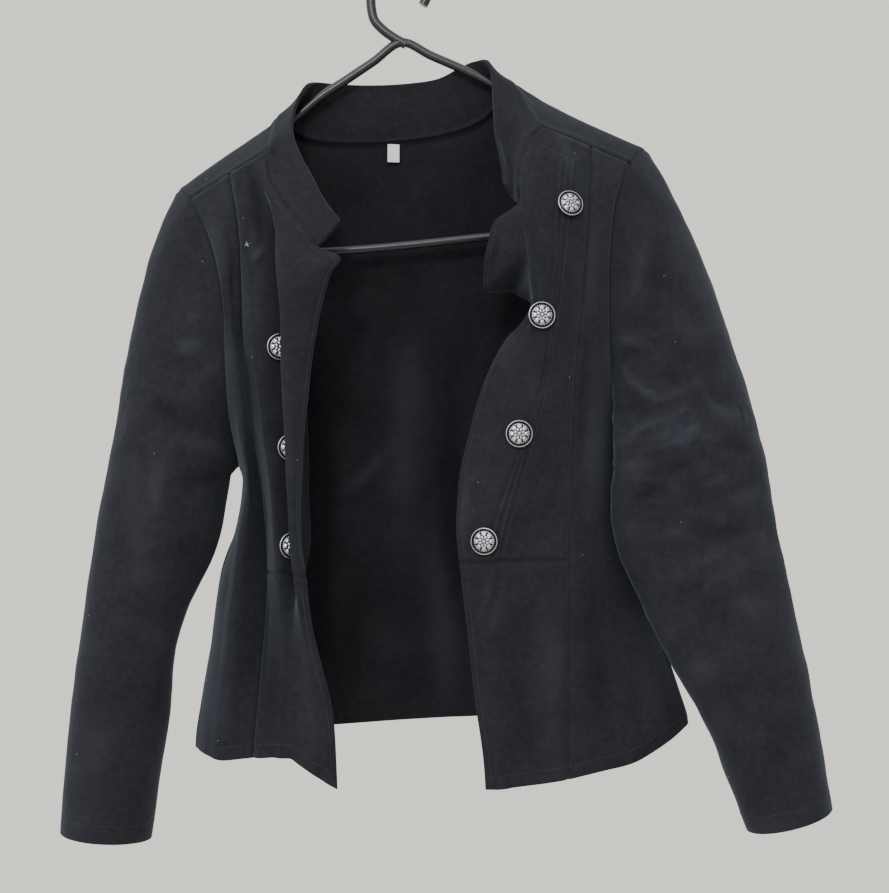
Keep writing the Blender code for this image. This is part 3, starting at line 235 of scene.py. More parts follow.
# Creases: piece, across and down of the start, of the end, bow, width in mm, height in mm,
# and the side that it is on, 1 front, -1 back, 0 both
CREASES = [
    ("sleeve_l", 619, 338, 645, 342, 2, 3.4, 1.6, 1), ("sleeve_l", 614, 362, 640, 352, -3, 6.0, -0.7, 1),
    ("sleeve_l", 622, 366, 636, 386, 2, 3.0, 1.6, 1), ("sleeve_l", 634, 382, 663, 402, 3, 3.2, 1.8, 1),
    ("sleeve_l", 613, 408, 652, 411, -6, 9.0, -1.3, 1), ("sleeve_l", 630, 437, 660, 421, -3, 3.6, 1.2, 1),
    ("sleeve_l", 617, 470, 653, 461, 2, 8.0, 1.5, 1), ("sleeve_l", 634, 503, 672, 485, -3, 5.0, -1.1, 1),
    ("sleeve_l", 700, 487, 725, 473, 2, 3.4, 1.3, 1), ("sleeve_l", 691, 437, 716, 463, 3, 5.0, -0.9, 1),
    ("sleeve_l", 668, 395, 700, 378, 3, 4.5, 0.8, 1), ("sleeve_l", 676, 352, 708, 372, -2, 6.0, -0.6, 1),
    ("sleeve_l", 706, 402, 742, 420, 3, 6.0, 1.3, 1), ("sleeve_l", 668, 444, 698, 424, 3, 5.5, 1.3, 1),
    ("sleeve_l", 664, 470, 700, 455, 3, 5.5, -1.3, 1), ("sleeve_l", 716, 445, 752, 452, -3, 6.0, -1.4, 1),
    ("sleeve_l", 720, 500, 760, 488, 3, 6.5, 1.3, 1), ("sleeve_l", 648, 538, 694, 522, 3, 7.0, 1.2, 1),
    ("sleeve_l", 690, 545, 745, 528, -3, 8.0, -1.1, 1), ("sleeve_l", 648, 240, 636, 300, 3, 8.0, 1.6, 1),
    ("sleeve_l", 662, 232, 655, 320, 3, 12.0, -1.2, 1), ("sleeve_l", 690, 260, 712, 356, -4, 13.0, 1.1, 1),
    ("sleeve_l", 655, 600, 708, 590, 3, 9.0, -0.9, 1), ("sleeve_l", 724, 610, 775, 596, 3, 10.0, 0.9, 1),
    ("sleeve_l", 690, 690, 760, 676, 4, 12.0, -0.8, 1), ("sleeve_l", 700, 640, 735, 760, 5, 14.0, 0.9, 1),
    ("sleeve_l", 640, 372, 690, 384, 3, 7.0, -1.6, -1), ("sleeve_l", 650, 410, 716, 398, -4, 7.0, 1.6, -1),
    ("sleeve_l", 634, 448, 700, 462, 3, 8.0, -1.7, -1), ("sleeve_l", 668, 500, 738, 486, 4, 8.0, 1.5, -1),
    ("sleeve_l", 660, 545, 744, 560, -4, 10.0, -1.3, -1), ("sleeve_l", 672, 300, 700, 400, 5, 11.0, -1.2, -1),
    ("sleeve_l", 690, 630, 778, 650, 4, 11.0, 1.1, -1), ("sleeve_l", 720, 740, 810, 725, -4, 11.0, -0.9, -1),
    ("sleeve_r", 187, 318, 200, 314, 1, 4.0, 1.2, 1), ("sleeve_r", 178, 350, 203, 346, -2, 5.0, 1.4, 1),
    ("sleeve_r", 176, 366, 210, 360, 3, 6.5, -1.1, 1), ("sleeve_r", 163, 458, 156, 520, 2, 7.0, 1.4, 1),
    ("sleeve_r", 146, 400, 208, 424, 4, 9.0, -1.2, 1), ("sleeve_r", 182, 442, 232, 458, -3, 7.0, 1.3, 1),
    ("sleeve_r", 176, 480, 226, 474, 3, 7.5, -1.3, 1), ("sleeve_r", 128, 470, 140, 580, -4, 11.0, 1.0, 1),
    ("sleeve_r", 150, 560, 204, 540, 3, 9.0, -0.9, 1), ("sleeve_r", 100, 606, 176, 640, 5, 12.0, 0.8, 1),
    ("sleeve_r", 92, 700, 152, 672, 5, 13.0, -0.8, 1), ("sleeve_r", 104, 720, 98, 812, 3, 13.0, 0.8, 1),
    ("sleeve_r", 150, 380, 214, 372, 3, 8.0, -1.2, -1), ("sleeve_r", 132, 440, 216, 462, 4, 9.0, 1.3, -1),
    ("sleeve_r", 120, 520, 206, 500, -4, 9.0, -1.4, -1), ("sleeve_r", 104, 590, 186, 616, 4, 11.0, 1.0, -1),
    ("sleeve_r", 90, 690, 160, 668, 4, 12.0, -0.9, -1), ("sleeve_r", 130, 300, 120, 430, 5, 13.0, 1.1, -1),
    ("side_front_r", 238, 248, 232, 330, 3, 7.0, -1.6, 0),
    ("side_front_r", 210, 214, 222, 292, -2, 7.0, 1.1, 0),
    ("side_front_r", 232, 340, 252, 448, -3, 9.0, 1.4, 0),
    ("side_front_r", 230, 458, 240, 470, 0, 3.0, 1.3, 0),
    ("side_front_r", 228, 500, 236, 620, 4, 10.0, -1.1, 0),
    ("side_front_r", 212, 640, 222, 745, 2, 11.0, 1.0, 0),
    ("front_centre_r", 246, 160, 262, 250, -3, 6.5, -1.7, 0),
    ("front_centre_r", 252, 262, 262, 247, 1, 3.2, 1.4, 0),
    ("front_centre_r", 238, 236, 250, 262, 2, 4.5, -1.2, 0),
    ("front_centre_r", 245, 340, 262, 452, -2, 9.0, -0.9, 0),
    ("front_centre_r", 260, 440, 272, 562, -2, 9.0, -0.9, 0),
    ("front_centre_r", 272, 190, 318, 244, 6, 1.6, 0.5, 0),
    ("peplum_r", 268, 580, 262, 750, 2, 12.0, -1.2, 0), ("peplum_r", 284, 590, 276, 740, 1, 12.0, -0.5, 0),
    ("peplum_r", 300, 620, 312, 760, -3, 9.0, 0.6, 0),
    ("front_centre_l", 521, 325, 489, 480, -3, 2.0, -0.5, 0),
    ("front_centre_l", 560, 130, 572, 178, 2, 8.0, 1.0, 0),
    ("front_centre_l", 470, 470, 462, 545, 1, 5.5, 1.1, 0),
    ("front_centre_l", 532, 270, 506, 352, 3, 4.5, 1.2, 0),
    ("front_centre_l", 498, 232, 484, 300, 2, 6.0, -1.4, 0),
    ("peplum_l", 495, 566, 476, 628, -1, 3.6, 0.7, 0), ("peplum_l", 506, 566, 490, 640, -1, 3.6, 0.6, 0),
    ("peplum_l", 520, 590, 520, 760, 3, 11.0, -1.1, 0), ("peplum_l", 548, 600, 552, 770, -3, 10.0, 0.9, 0),
    ("side_front_l", 590, 230, 585, 330, 2, 9.0, 1.3, 0),
    ("side_front_l", 598, 344, 592, 540, 4, 12.0, 1.5, 0),
    ("side_front_l", 580, 300, 576, 500, -2, 8.0, -1.4, 0),
    ("side_front_l", 612, 470, 640, 500, 2, 7.0, 1.3, 0),
    ("side_front_l", 592, 560, 604, 752, 3, 12.0, -1.2, 0),
    ("side_front_l", 640, 600, 656, 730, 2, 10.0, 1.1, 0),
    ("back", 341, 492, 382, 452, 2, 6.0, 1.4, 0), ("back", 452, 350, 456, 610, 4, 10.0, -2.0, 0),
    ("back", 412, 300, 404, 560, 5, 16.0, 1.3, 0), ("back", 366, 560, 350, 715, 4, 12.0, -1.4, 0),
    ("back", 430, 520, 446, 716, -4, 14.0, 1.4, 0), ("back", 560, 560, 590, 716, 5, 15.0, -1.5, 0),
    ("back", 260, 520, 240, 700, 5, 14.0, 1.5, 0), ("back", 230, 330, 330, 400, 7, 13.0, -1.6, 0),
    ("back", 620, 300, 520, 372, -7, 13.0, -1.6, 0), ("back", 270, 200, 330, 320, 5, 16.0, 1.2, 0),
    ("back", 590, 170, 520, 300, 5, 16.0, 1.2, 0), ("back", 300, 600, 318, 718, 3, 11.0, 1.2, 0),
]
# Low ripples on every piece: size and height in mm, seed, and its step from piece to piece
RIPPLES = [(46.0, 0.9, 3.1, 7.0), (15.0, 0.28, 11.3, 5.0)]
# Further ripples on the sleeves: piece, size and height in mm, seed
SLEEVE_RIPPLES = [("sleeve_l", 26.0, 1.3, 41.7), ("sleeve_r", 30.0, 0.6, 41.7)]
# Patches of short wrinkles: piece, across, down and reach in pixels, length and height in mm
CRUMPLES = [("sleeve_l", 664.0, 428.0, 88.0, 24.0, 1.4), ("sleeve_l", 700.0, 580.0, 80.0, 34.0, 1.1),
            ("sleeve_r", 186.0, 400.0, 75.0, 34.0, 0.9),
            ("front_centre_r", 254.0, 252.0, 15.0, 9.0, 1.3)]
# How far into a piece in mm its edges are eased onto their seams, when cut and when creased
CUT_REACH = 14.0
CREASED_REACH = 4.0
# Distance in mm between the points of each shell, without its side
SPACING = {"front_centre": 1.6, "peplum": 1.9, "side_front": 2.2, "sleeve": 2.5, "back": 2.9,
           "collar": 1.7, "bare_tab": 0.9}
# Button bands: side, last column, height and rise in mm, then the rows and first column of both
BANDS = [("r", 4.0, 0.8, 6.0), ("l", 5.0, 1.5, 3.2)]
BAND_ROWS = (1.0, WAIST - 0.1)
BAND_FROM = 2.0
# The left band's tucks: distances in mm from its outer edge, height and width of a ridge, then
# depth, distance from the ridge and width of the furrow beside it
TUCKS = (1.2, 6.6, 12.0)
TUCK_RIDGE = (0.9, 1.15)
TUCK_FURROW = (0.7, 2.4, 1.0)
# Where the thread of the missing right button is left, across and down
THREAD_ENDS = (247.0, 244.5)
# Half length in mm of a thread end and of a fleck of lint, the flecks' seed, and how many rows
# and columns they keep from a piece's edges
END_HALF = 3.4
FLECK_HALF = 1.05
LINT_SEED = 11
LINT_MARGIN = 5
# Flecks of lint on each piece
LINT = {"front_centre_r": 5, "side_front_r": 3, "sleeve_r": 6, "front_centre_l": 4, "side_front_l": 2,
        "sleeve_l": 7, "back": 5, "collar": 2}
# The tab at the neck: row and column of the back that it hangs at, its first corner from there
# and its steps across and down in mm, and the size, height and seed of its ripple
TAB_AT = (2, 10)
TAB_CORNER = (-10.0, -2.4, 3.2)
TAB_ACROSS = (5.0, 0.0, -0.2)
TAB_DOWN = (0.0, -0.7, -5.2)
TAB_RIPPLE = (9.0, 0.25, 2.0)


@dataclass(frozen=True)
class Sight:
    """The photograph's camera, which turns a measured place into a point and back."""

    scale: float = 0.84
    eye: tuple[float, float, float] = (37.8, -1300.0, -406.6)
    centre: tuple[float, float] = (444.0, 446.0)
    lens: float = 62.4
    sensor: float = 36.0

    def place(self, across: float, down: float, depth: float) -> np.ndarray:
        """Point of a measured place.

        Args:
            across: pixels from the photograph's left.
            down: pixels from its top.
            depth: mm behind the hanger's plane.

        Returns:
            The point in mm.
        """
        grow = self.scale * (1.0 - depth / self.eye[1])
        x = self.eye[0] + (across - self.centre[0]) * grow
        return np.array((x, depth, self.eye[2] - (down - self.centre[1]) * grow))

    def sighted(self, points: np.ndarray) -> np.ndarray:
        """Where the camera sees points, the inverse of place.

        Args:
            points: points in mm.

        Returns:
            Across and down of each point.
        """
        grow = self.scale * (1.0 - points[..., 1] / self.eye[1])
        across = self.centre[0] + (points[..., 0] - self.eye[0]) / grow
        down = self.centre[1] - (points[..., 2] - self.eye[2]) / grow
        return np.stack((across, down), axis=-1)


SIGHT = Sight()


def spline(keys: np.ndarray, values: np.ndarray, at: np.ndarray) -> np.ndarray:
    """Smooth curve through values at keys, read at other places.

    Args:
        keys: rising places of the values.
        values: one value or array of values for each key.
        at: places to read.

    Returns:
        The values at those places.
    """
    keys = np.asarray(keys, float)
    values = np.asarray(values, float)
    at = np.atleast_1d(np.asarray(at, float))
    slopes = np.gradient(values, keys, axis=0)
    i = np.clip(np.searchsorted(keys, at, side="right") - 1, 0, len(keys) - 2)
    step = keys[i + 1] - keys[i]
    t = (at - keys[i]) / step
    spread = (len(at),) + (1,) * (values.ndim - 1)
    t, step = t.reshape(spread), step.reshape(spread)
    return (values[i] * (2 * t**3 - 3 * t**2 + 1) + values[i + 1] * (3 * t**2 - 2 * t**3)
            + step * (slopes[i] * (t**3 - 2 * t**2 + t) + slopes[i + 1] * (t**3 - t**2)))


def line(table: list[tuple], rows: np.ndarray, first: np.ndarray | None = None) -> np.ndarray:
    """Line of a table, read at grid rows.

    Args:
        table: for each measured place its row, across, down and depth.
        rows: rows to read.
        first: the line's point at row 0, or None where the table has it.

    Returns:
        A point in mm for each row.
    """
    keys = [row[0] for row in table]
    values = [SIGHT.place(*row[1:4]) for row in table]
    if first is not None:
        keys.insert(0, 0)
        values.insert(0, first)
    return spline(keys, values, rows)


def between(a: np.ndarray, b: np.ndarray, share: float) -> np.ndarray:
    """Point or line part of the way from a to b."""
    return a + (b - a) * share


def unit(vectors: np.ndarray) -> np.ndarray:
    """Vectors at length one."""
    return vectors / np.maximum(np.linalg.norm(vectors, axis=-1, keepdims=True), 1e-9)


def smooth(value: np.ndarray) -> np.ndarray:
    """Eased step from 0 to 1."""
    value = np.clip(value, 0.0, 1.0)
    return value * value * (3 - 2 * value)


def faded(t: np.ndarray, margin: float) -> np.ndarray:
    """Share that swells to 1 in a line's middle, t being the place along it from 0 to 1."""
    return np.sin(math.pi * np.clip(t, margin, 1 - margin)) ** 0.6


@dataclass
class Pattern:
    """The coarse grids of all cut pieces, which are the ones that the solids have."""

    grids: dict[str, np.ndarray] = field(default_factory=dict)
    outside: dict[str, float] = field(default_factory=dict)

    def add(self, name: str, grid: np.ndarray, outside: float) -> None:
        """Keeps a piece's grid and the sign of its outer side."""
        self.grids[name] = grid
        self.outside[name] = outside

    def draft(self) -> Pattern:
        """Works out every grid from the line tables.

        Returns:
            This pattern, filled.
        """
        corners = {s: (SIGHT.place(*edge[0][1:]), SIGHT.place(*seam[0][1:]))
                   for s, edge, seam in (("r", EDGE_R, SIDE_R), ("l", EDGE_L, SIDE_L))}
        right = self.right_front(*corners["r"])
        left = self.left_front(*corners["l"])
        self.add("front_r", right, -1.0)
        self.add("front_l", left, 1.0)
        side_r = self.side(right[:, 0], HIP_R, SIDE_R, -1.0)
        side_l = self.side(left[:, 0], HIP_L, SIDE_L, 1.0)
        self.add("side_front_r", side_r, 1.0)
        self.add("side_front_l", side_l, -1.0)
        back, top = self.back(side_r[:, -1], side_l[:, -1], corners)
        self.add("back", back, 1.0)
        cuff_r = self.sleeve(SLEEVE_R, side_r[:ARMPIT + 1, -1], back[:, 0], -1.0)
        cuff_l = self.sleeve(SLEEVE_L, side_l[:ARMPIT + 1, -1], back[:, -1], 1.0)
        row_at, column_at, row_spread, column_spread = ARMPIT_BULGE
        for i in range(1, CAP_ROWS + 2):
            for k in range(cuff_l.shape[1]):
                near = math.exp(-((i - row_at) / row_spread) ** 2 - ((k - column_at) / column_spread) ** 2)
                cuff_l[i, k] += np.array(ARMPIT_MOVE) * near
        self.keep_off(cuff_r, side_r[BESIDE_SLEEVE:, 1:], 1.0)
        self.keep_off(cuff_l, side_l[BESIDE_SLEEVE:, 1:], -1.0)
        self.add("sleeve_r", cuff_r, -1.0)
        self.add("sleeve_l", cuff_l, 1.0)
        self.add("collar", self.collar(right, left, top), -1.0)
        self.crush()
        return self

    def crush(self) -> None:
        """Sinks and raises the grids along the largest folds, as the solids have them."""
        for name, row_a, column_a, row_b, column_b, width, height in FOLDS:
            grid = self.grids[name]
            ring = name.startswith("sleeve")
            if ring:
                wide = np.roll(grid, -1, axis=1) - np.roll(grid, 1, axis=1)
            else:
                wide = np.gradient(grid, axis=1)
            normals = unit(np.cross(wide, np.gradient(grid, axis=0))) * self.outside[name]
            start, axis = grid[row_a, column_a], grid[row_b, column_b] - grid[row_a, column_a]
            rel = grid - start
            t = np.clip(rel @ axis / np.dot(axis, axis), 0, 1)
            far = np.linalg.norm(rel - t[..., None] * axis, axis=-1)
            facing = np.sum(normals * normals[row_a, column_a], axis=-1) > -0.2
            lift = height * np.exp(-(far / width * 2) ** 2) * faded(t, 0.04) * facing
            lift[0] = 0.0
            if not ring:
                lift[:, 0] = 0.0
                lift[:, -1] = 0.0
            self.grids[name] = grid + normals * lift[..., None]

    def right_front(self, corner: np.ndarray, shoulder: np.ndarray) -> np.ndarray:
        """Grid of the right front: band, the fold that hides part of it, and the edge strip.

        Args:
            corner: the neck corner.
            shoulder: the shoulder's tip.

        Returns:
            The grid.
        """
        rows = np.arange(HEM + 1)
        top = between(shoulder, corner, PRINCESS_SHARE_R)
        edge = line(EDGE_R, rows)
        crease = line(CREASE_R, rows, between(top, corner, 0.82))
        under = line(UNDER_R, rows, between(top, corner, 0.5))
        ridge = line(RIDGE_R, rows, between(top, corner, 0.22))
        princess = line(PRINCESS_R, rows, top)
        folded = np.clip((under[:, 0] - crease[:, 0]) / 7.0, 0, 1)[:, None]

        def turned(base: np.ndarray, across: float, depth: float, flat: np.ndarray) -> np.ndarray:
            """Line beside a fold: flat where the cloth lies open, offset where it is folded."""
            return flat * (1 - folded) + (base + np.array((across, depth, 0.0))) * folded

        under_in = turned(under, -4.0, 2.0, between(ridge, under, 0.8))
        under_out = turned(under, -2.0, -10.0, between(under, crease, 0.3))
        crease_in = turned(crease, 4.5, 5.0, between(under, crease, 0.7))
        crease_out = turned(crease, 4.0, -2.0, between(crease, edge, 0.25))
        valley = between(princess, ridge, 0.5) + np.array((0.0, -3.0, 0.0))
        band_mid = between(ridge, under_in, 0.5) + np.array((0.0, -1.5, 0.0))
        strip_mid = between(crease_out, edge, 0.5) + np.array((0.0, -1.5, 0.0))
        return self.front(corner, top, [
            (0.0, princess), (0.11, valley), (0.22, ridge), (0.32, band_mid), (0.42, under_in),
            (0.5, under), (0.58, under_out), (0.66, between(under_out, crease_in, 0.5)),
            (0.74, crease_in), (0.82, crease), (0.88, crease_out), (0.94, strip_mid), (1.0, edge)])

    def left_front(self, corner: np.ndarray, shoulder: np.ndarray) -> np.ndarray:
        """Grid of the left front, whose strip is buckled below the peak.

        Args:
            corner: the neck corner.
            shoulder: the shoulder's tip.

        Returns:
            The grid.
        """
        rows = np.arange(HEM + 1)
        top = between(corner, shoulder, PRINCESS_SHARE_L)
        edge = line(EDGE_L, rows)
        crease = line(CREASE_L, rows, between(top, corner, 0.76))
        band = line(BAND_L, rows, between(top, corner, 0.34))
        princess = line(PRINCESS_L, rows, top)
        bulge = np.array((0.0, -1.5, 0.0))
        return self.front(corner, top, [
            (0.0, princess), (0.17, between(princess, band, 0.5) + bulge), (0.34, band),
            (0.48, between(band, crease, 0.33) + bulge), (0.62, between(band, crease, 0.67) + bulge),
            (0.76, crease), (0.84, between(crease, edge, 0.33)), (0.92, between(crease, edge, 0.67)),
            (1.0, edge)])

    def front(self, corner: np.ndarray, princess: np.ndarray, lines: list[tuple]) -> np.ndarray:
        """Grid of a front from the princess seam to the front edge, with a straight top row.

        Args:
            corner: the neck corner.
            princess: where the princess seam starts.
            lines: for each column its share of the top row, and its points.

        Returns:
            The grid.
        """
        grid = np.stack([points for _, points in lines], axis=1)
        for column, (share, _) in enumerate(lines):
            grid[0, column] = between(princess, corner, share)
        return grid

    def side(self, princess: np.ndarray, hip: list[tuple], seam: list[tuple], outward: float) -> np.ndarray:
        """Grid of a side front from the princess seam to the armhole and side seam.

        Args:
            princess: the princess seam's points.
            hip: table of the line down its middle.
            seam: table of the armhole and side seam.
            outward: sign of the side that it lies on.

        Returns:
            The grid.
        """
        rows = np.arange(HEM + 1)
        seam = line(seam, rows)
        hip = line(hip, rows, between(princess[0], seam[0], 0.5))
        wide = np.linalg.norm(seam - hip, axis=1, keepdims=True)
        lean = np.array((outward, -1.0, 0.0)) * 0.05 * wide
        columns = [princess, between(princess, hip, 0.5) + np.array((0, -1.0, 0)), hip,
                   between(hip, seam, 0.36) + lean, between(hip, seam, 0.7) + lean * 0.9, seam]
        grid = np.stack(columns, axis=1)
        for column, share in enumerate((0, 0.25, 0.5, 0.66, 0.83, 1)):
            grid[0, column] = between(princess[0], seam[0], share)
        return grid

    def back(self, seam_r: np.ndarray, seam_l: np.ndarray, corners: dict) -> tuple[np.ndarray, np.ndarray]:
        """Grid of the back, from the shoulder and neck seams down to the hem.

        Args:
            seam_r: the right armhole and side seam of the front.
            seam_l: the left one.
            corners: for each side, the neck corner and the shoulder tip.

        Returns:
            The grid and its top row.
        """
        (corner_r, shoulder_r), (corner_l, shoulder_l) = corners["r"], corners["l"]
        arm_rows = np.arange(BACK_ARMPIT + 1)
        edge_r = np.vstack((line(BACK_ARM_R, arm_rows), seam_r[ARMPIT + 1:]))
        edge_l = np.vstack((line(BACK_ARM_L, arm_rows), seam_l[ARMPIT + 1:]))
        edge_r[BACK_ARMPIT] = seam_r[ARMPIT]
        edge_l[BACK_ARMPIT] = seam_l[ARMPIT]
        columns = np.arange(BACK_COLUMNS + 1)
        neck = line(BACK_NECK, np.arange(NECK_R, NECK_L + 1))
        top = np.vstack(([between(shoulder_r, corner_r, k / NECK_R) for k in range(NECK_R)], neck,
                         [between(corner_l, shoulder_l, k / NECK_R) for k in range(1, NECK_R + 1)]))
        over = line(BACK_RIDGE, columns)
        back = np.zeros((BACK_HEM + 1, BACK_COLUMNS + 1, 3))
        heights = [row[0] for row in BACK_DEPTH]
        depths = [row[1:] for row in BACK_DEPTH]
        for i in range(BACK_HEM + 1):
            for j in columns:
                share = j / BACK_COLUMNS
                flat = math.sin(math.pi * share) ** 0.55 if 0 < j < BACK_COLUMNS else 0.0
                point = between(edge_r[i], edge_l[i], share)
                middle, sides = spline(heights, depths, SIGHT.sighted(point)[1])[0]
                pull = max(0.0, 1 - min(share, 1 - share) / 0.16) ** 2
                point[1] = middle * flat + (sides + (point[1] - sides) * pull) * (1 - flat)
                point[2] += HEM_RISE * flat * max(0.0, (i - RISE_ROW) / (BACK_HEM - RISE_ROW))
                back[i, j] = point
        for j in columns:
            rise = 2.0 if j < NECK_R + 1 or j > NECK_L - 1 else 0
            first = between(top[j], over[j], 0.5) + np.array((0, 0, rise))
            keys = (0, 1, 2, 6, 7, 9)
            back[:9, j] = spline(keys, (top[j], first, over[j], back[6, j], back[7, j], back[9, j]), range(9))
        for _ in range(4):
            back[3:9, 1:-1] = (back[3:9, :-2] + 2 * back[3:9, 1:-1] + back[3:9, 2:]) / 4
        back[:, 0] = edge_r
        back[:, -1] = edge_l
        return back, top

    def sleeve(self, table: list[tuple], front_arm: np.ndarray, back_edge: np.ndarray,
               out_sign: float) -> np.ndarray:
        """Grid of a sleeve: the armhole, then rings blended into the measured sections.

        Args:
            table: the measured sections.
            front_arm: the armhole's points on the front.
            back_edge: the back's edge, whose upper part is the rest of the armhole.
            out_sign: sign of the side that it lies on.

        Returns:
            The grid, a ring in each row.
        """
        loop = np.vstack((front_arm, back_edge[BACK_ARMPIT - 1:0:-1]))
        count = len(loop)
        tip = count - 2
        low = np.arange(count) <= ARMPIT
        angles = np.where(low, math.pi * (np.arange(count) + 2) / (ARMPIT + 2),
                          math.pi + math.pi * (np.arange(count) - ARMPIT) / (tip - ARMPIT))
        keys = [CAP_ROWS + k * (SLEEVE_ROWS - CAP_ROWS) / (len(table) - 1) for k in range(len(table))]
        at = np.arange(CAP_ROWS, SLEEVE_ROWS + 1)
        outer = spline(keys, [SIGHT.place(*row[0:3]) for row in table], at)
        inner = spline(keys, [SIGHT.place(*row[3:6]) for row in table], at)
        half = spline(keys, [row[6] for row in table], at)
        rings = []
        for a, b, depth in zip(outer, inner, half):
            reach = (a - b) / 2
            face = unit(np.cross(reach, (0, 0, 1.0))) * -out_sign
            rings.append([between(a, b, 0.5) + reach * math.cos(t) - face * depth * math.sin(t)
                          for t in angles])
        rings = np.array(rings)
        grid = np.zeros((SLEEVE_ROWS + 1, count, 3))
        grid[CAP_ROWS:] = rings
        grid[0] = loop
        fall = unit(rings[1] - rings[0])
        for k in range(count):
            start, end = loop[k], rings[0][k]
            reach = np.linalg.norm(end - start)
            crown = max(0.0, math.cos(angles[k])) ** 1.5
            out = unit(between(end - start, np.array((out_sign, 0.0, 0.0)) * reach, CROWN_OUT * crown))
            for i in range(1, CAP_ROWS):
                t = i / CAP_ROWS
                grid[i, k] = (start * (2 * t**3 - 3 * t**2 + 1) + end * (3 * t**2 - 2 * t**3)
                              + out * reach * (t**3 - 2 * t**2 + t)
                              + fall[k] * reach * CAP_FALL * (t**3 - t**2))
        return grid

    def keep_off(self, grid: np.ndarray, body: np.ndarray, outward: float) -> None:
        """Moves a sleeve's points that come too near a body wall out to a least distance.

        Args:
            grid: the sleeve's grid, which is changed.
            body: the wall's grid.
            outward: sign of the wall's outer side.
        """
        fine = 6
        # Least distance in mm at the armhole, its growth with each ring, and its greatest value
        nearest, step, farthest = 1.9, 1.3, 5.5
        # How far in mm a moved point lies aside of the wall's nearest spot, and behind it, at most
        beside, deepest = 3.0, 9.0
        spots = []
        for a in np.linspace(0, 1, fine, endpoint=False):
            for b in np.linspace(0, 1, fine, endpoint=False):
                spots.append(between(between(body[:-1, :-1], body[:-1, 1:], b),
                                     between(body[1:, :-1], body[1:, 1:], b), a))
        facing = unit(np.cross(body[:-1, 1:] - body[:-1, :-1], body[1:, :-1] - body[:-1, :-1])) * outward
        facing = np.concatenate([facing.reshape(-1, 3)] * len(spots))
        spots = np.concatenate([spot.reshape(-1, 3) for spot in spots])
        for i in range(1, 2 * CAP_ROWS):
            least = min(nearest + step * i, farthest)
            for k in range(grid.shape[1]):
                offset = grid[i, k] - spots
                best = int(np.argmin(np.sum(offset**2, axis=1)))
                height = float(np.dot(offset[best], facing[best]))
                aside = np.linalg.norm(offset[best] - facing[best] * height)
                if aside < beside and -deepest < height < least:
                    grid[i, k] = grid[i, k] + facing[best] * (least - height)

    def collar(self, right: np.ndarray, left: np.ndarray, top: np.ndarray) -> np.ndarray:
        """Grid of the stand collar, from the neck seam up to its top edge.

        Args:
            right: the right front's grid.
            left: the left front's grid.
            top: the back's top row.

        Returns:
            The grid.
        """
        seam = np.vstack((right[6:0:-1, -1], top[NECK_R:NECK_L + 1], left[1:6, -1]))
        stand = line(COLLAR_TOP, np.arange(len(seam)))
        lean = np.array([row[4] for row in COLLAR_TOP])[:, None]
        outwards = unit(np.cross(unit(np.gradient(seam, axis=0)), stand - seam))
        return np.stack([between(seam, stand, share) + outwards * lean * math.sin(math.pi * share)
                         for share in (0.0, 0.25, 0.5, 0.75, 1.0)], axis=0)


class Edge(Enum):
    """Sides of a piece's grid."""

    TOP = "top"
    BOTTOM = "bottom"
    START = "start"
    END = "end"


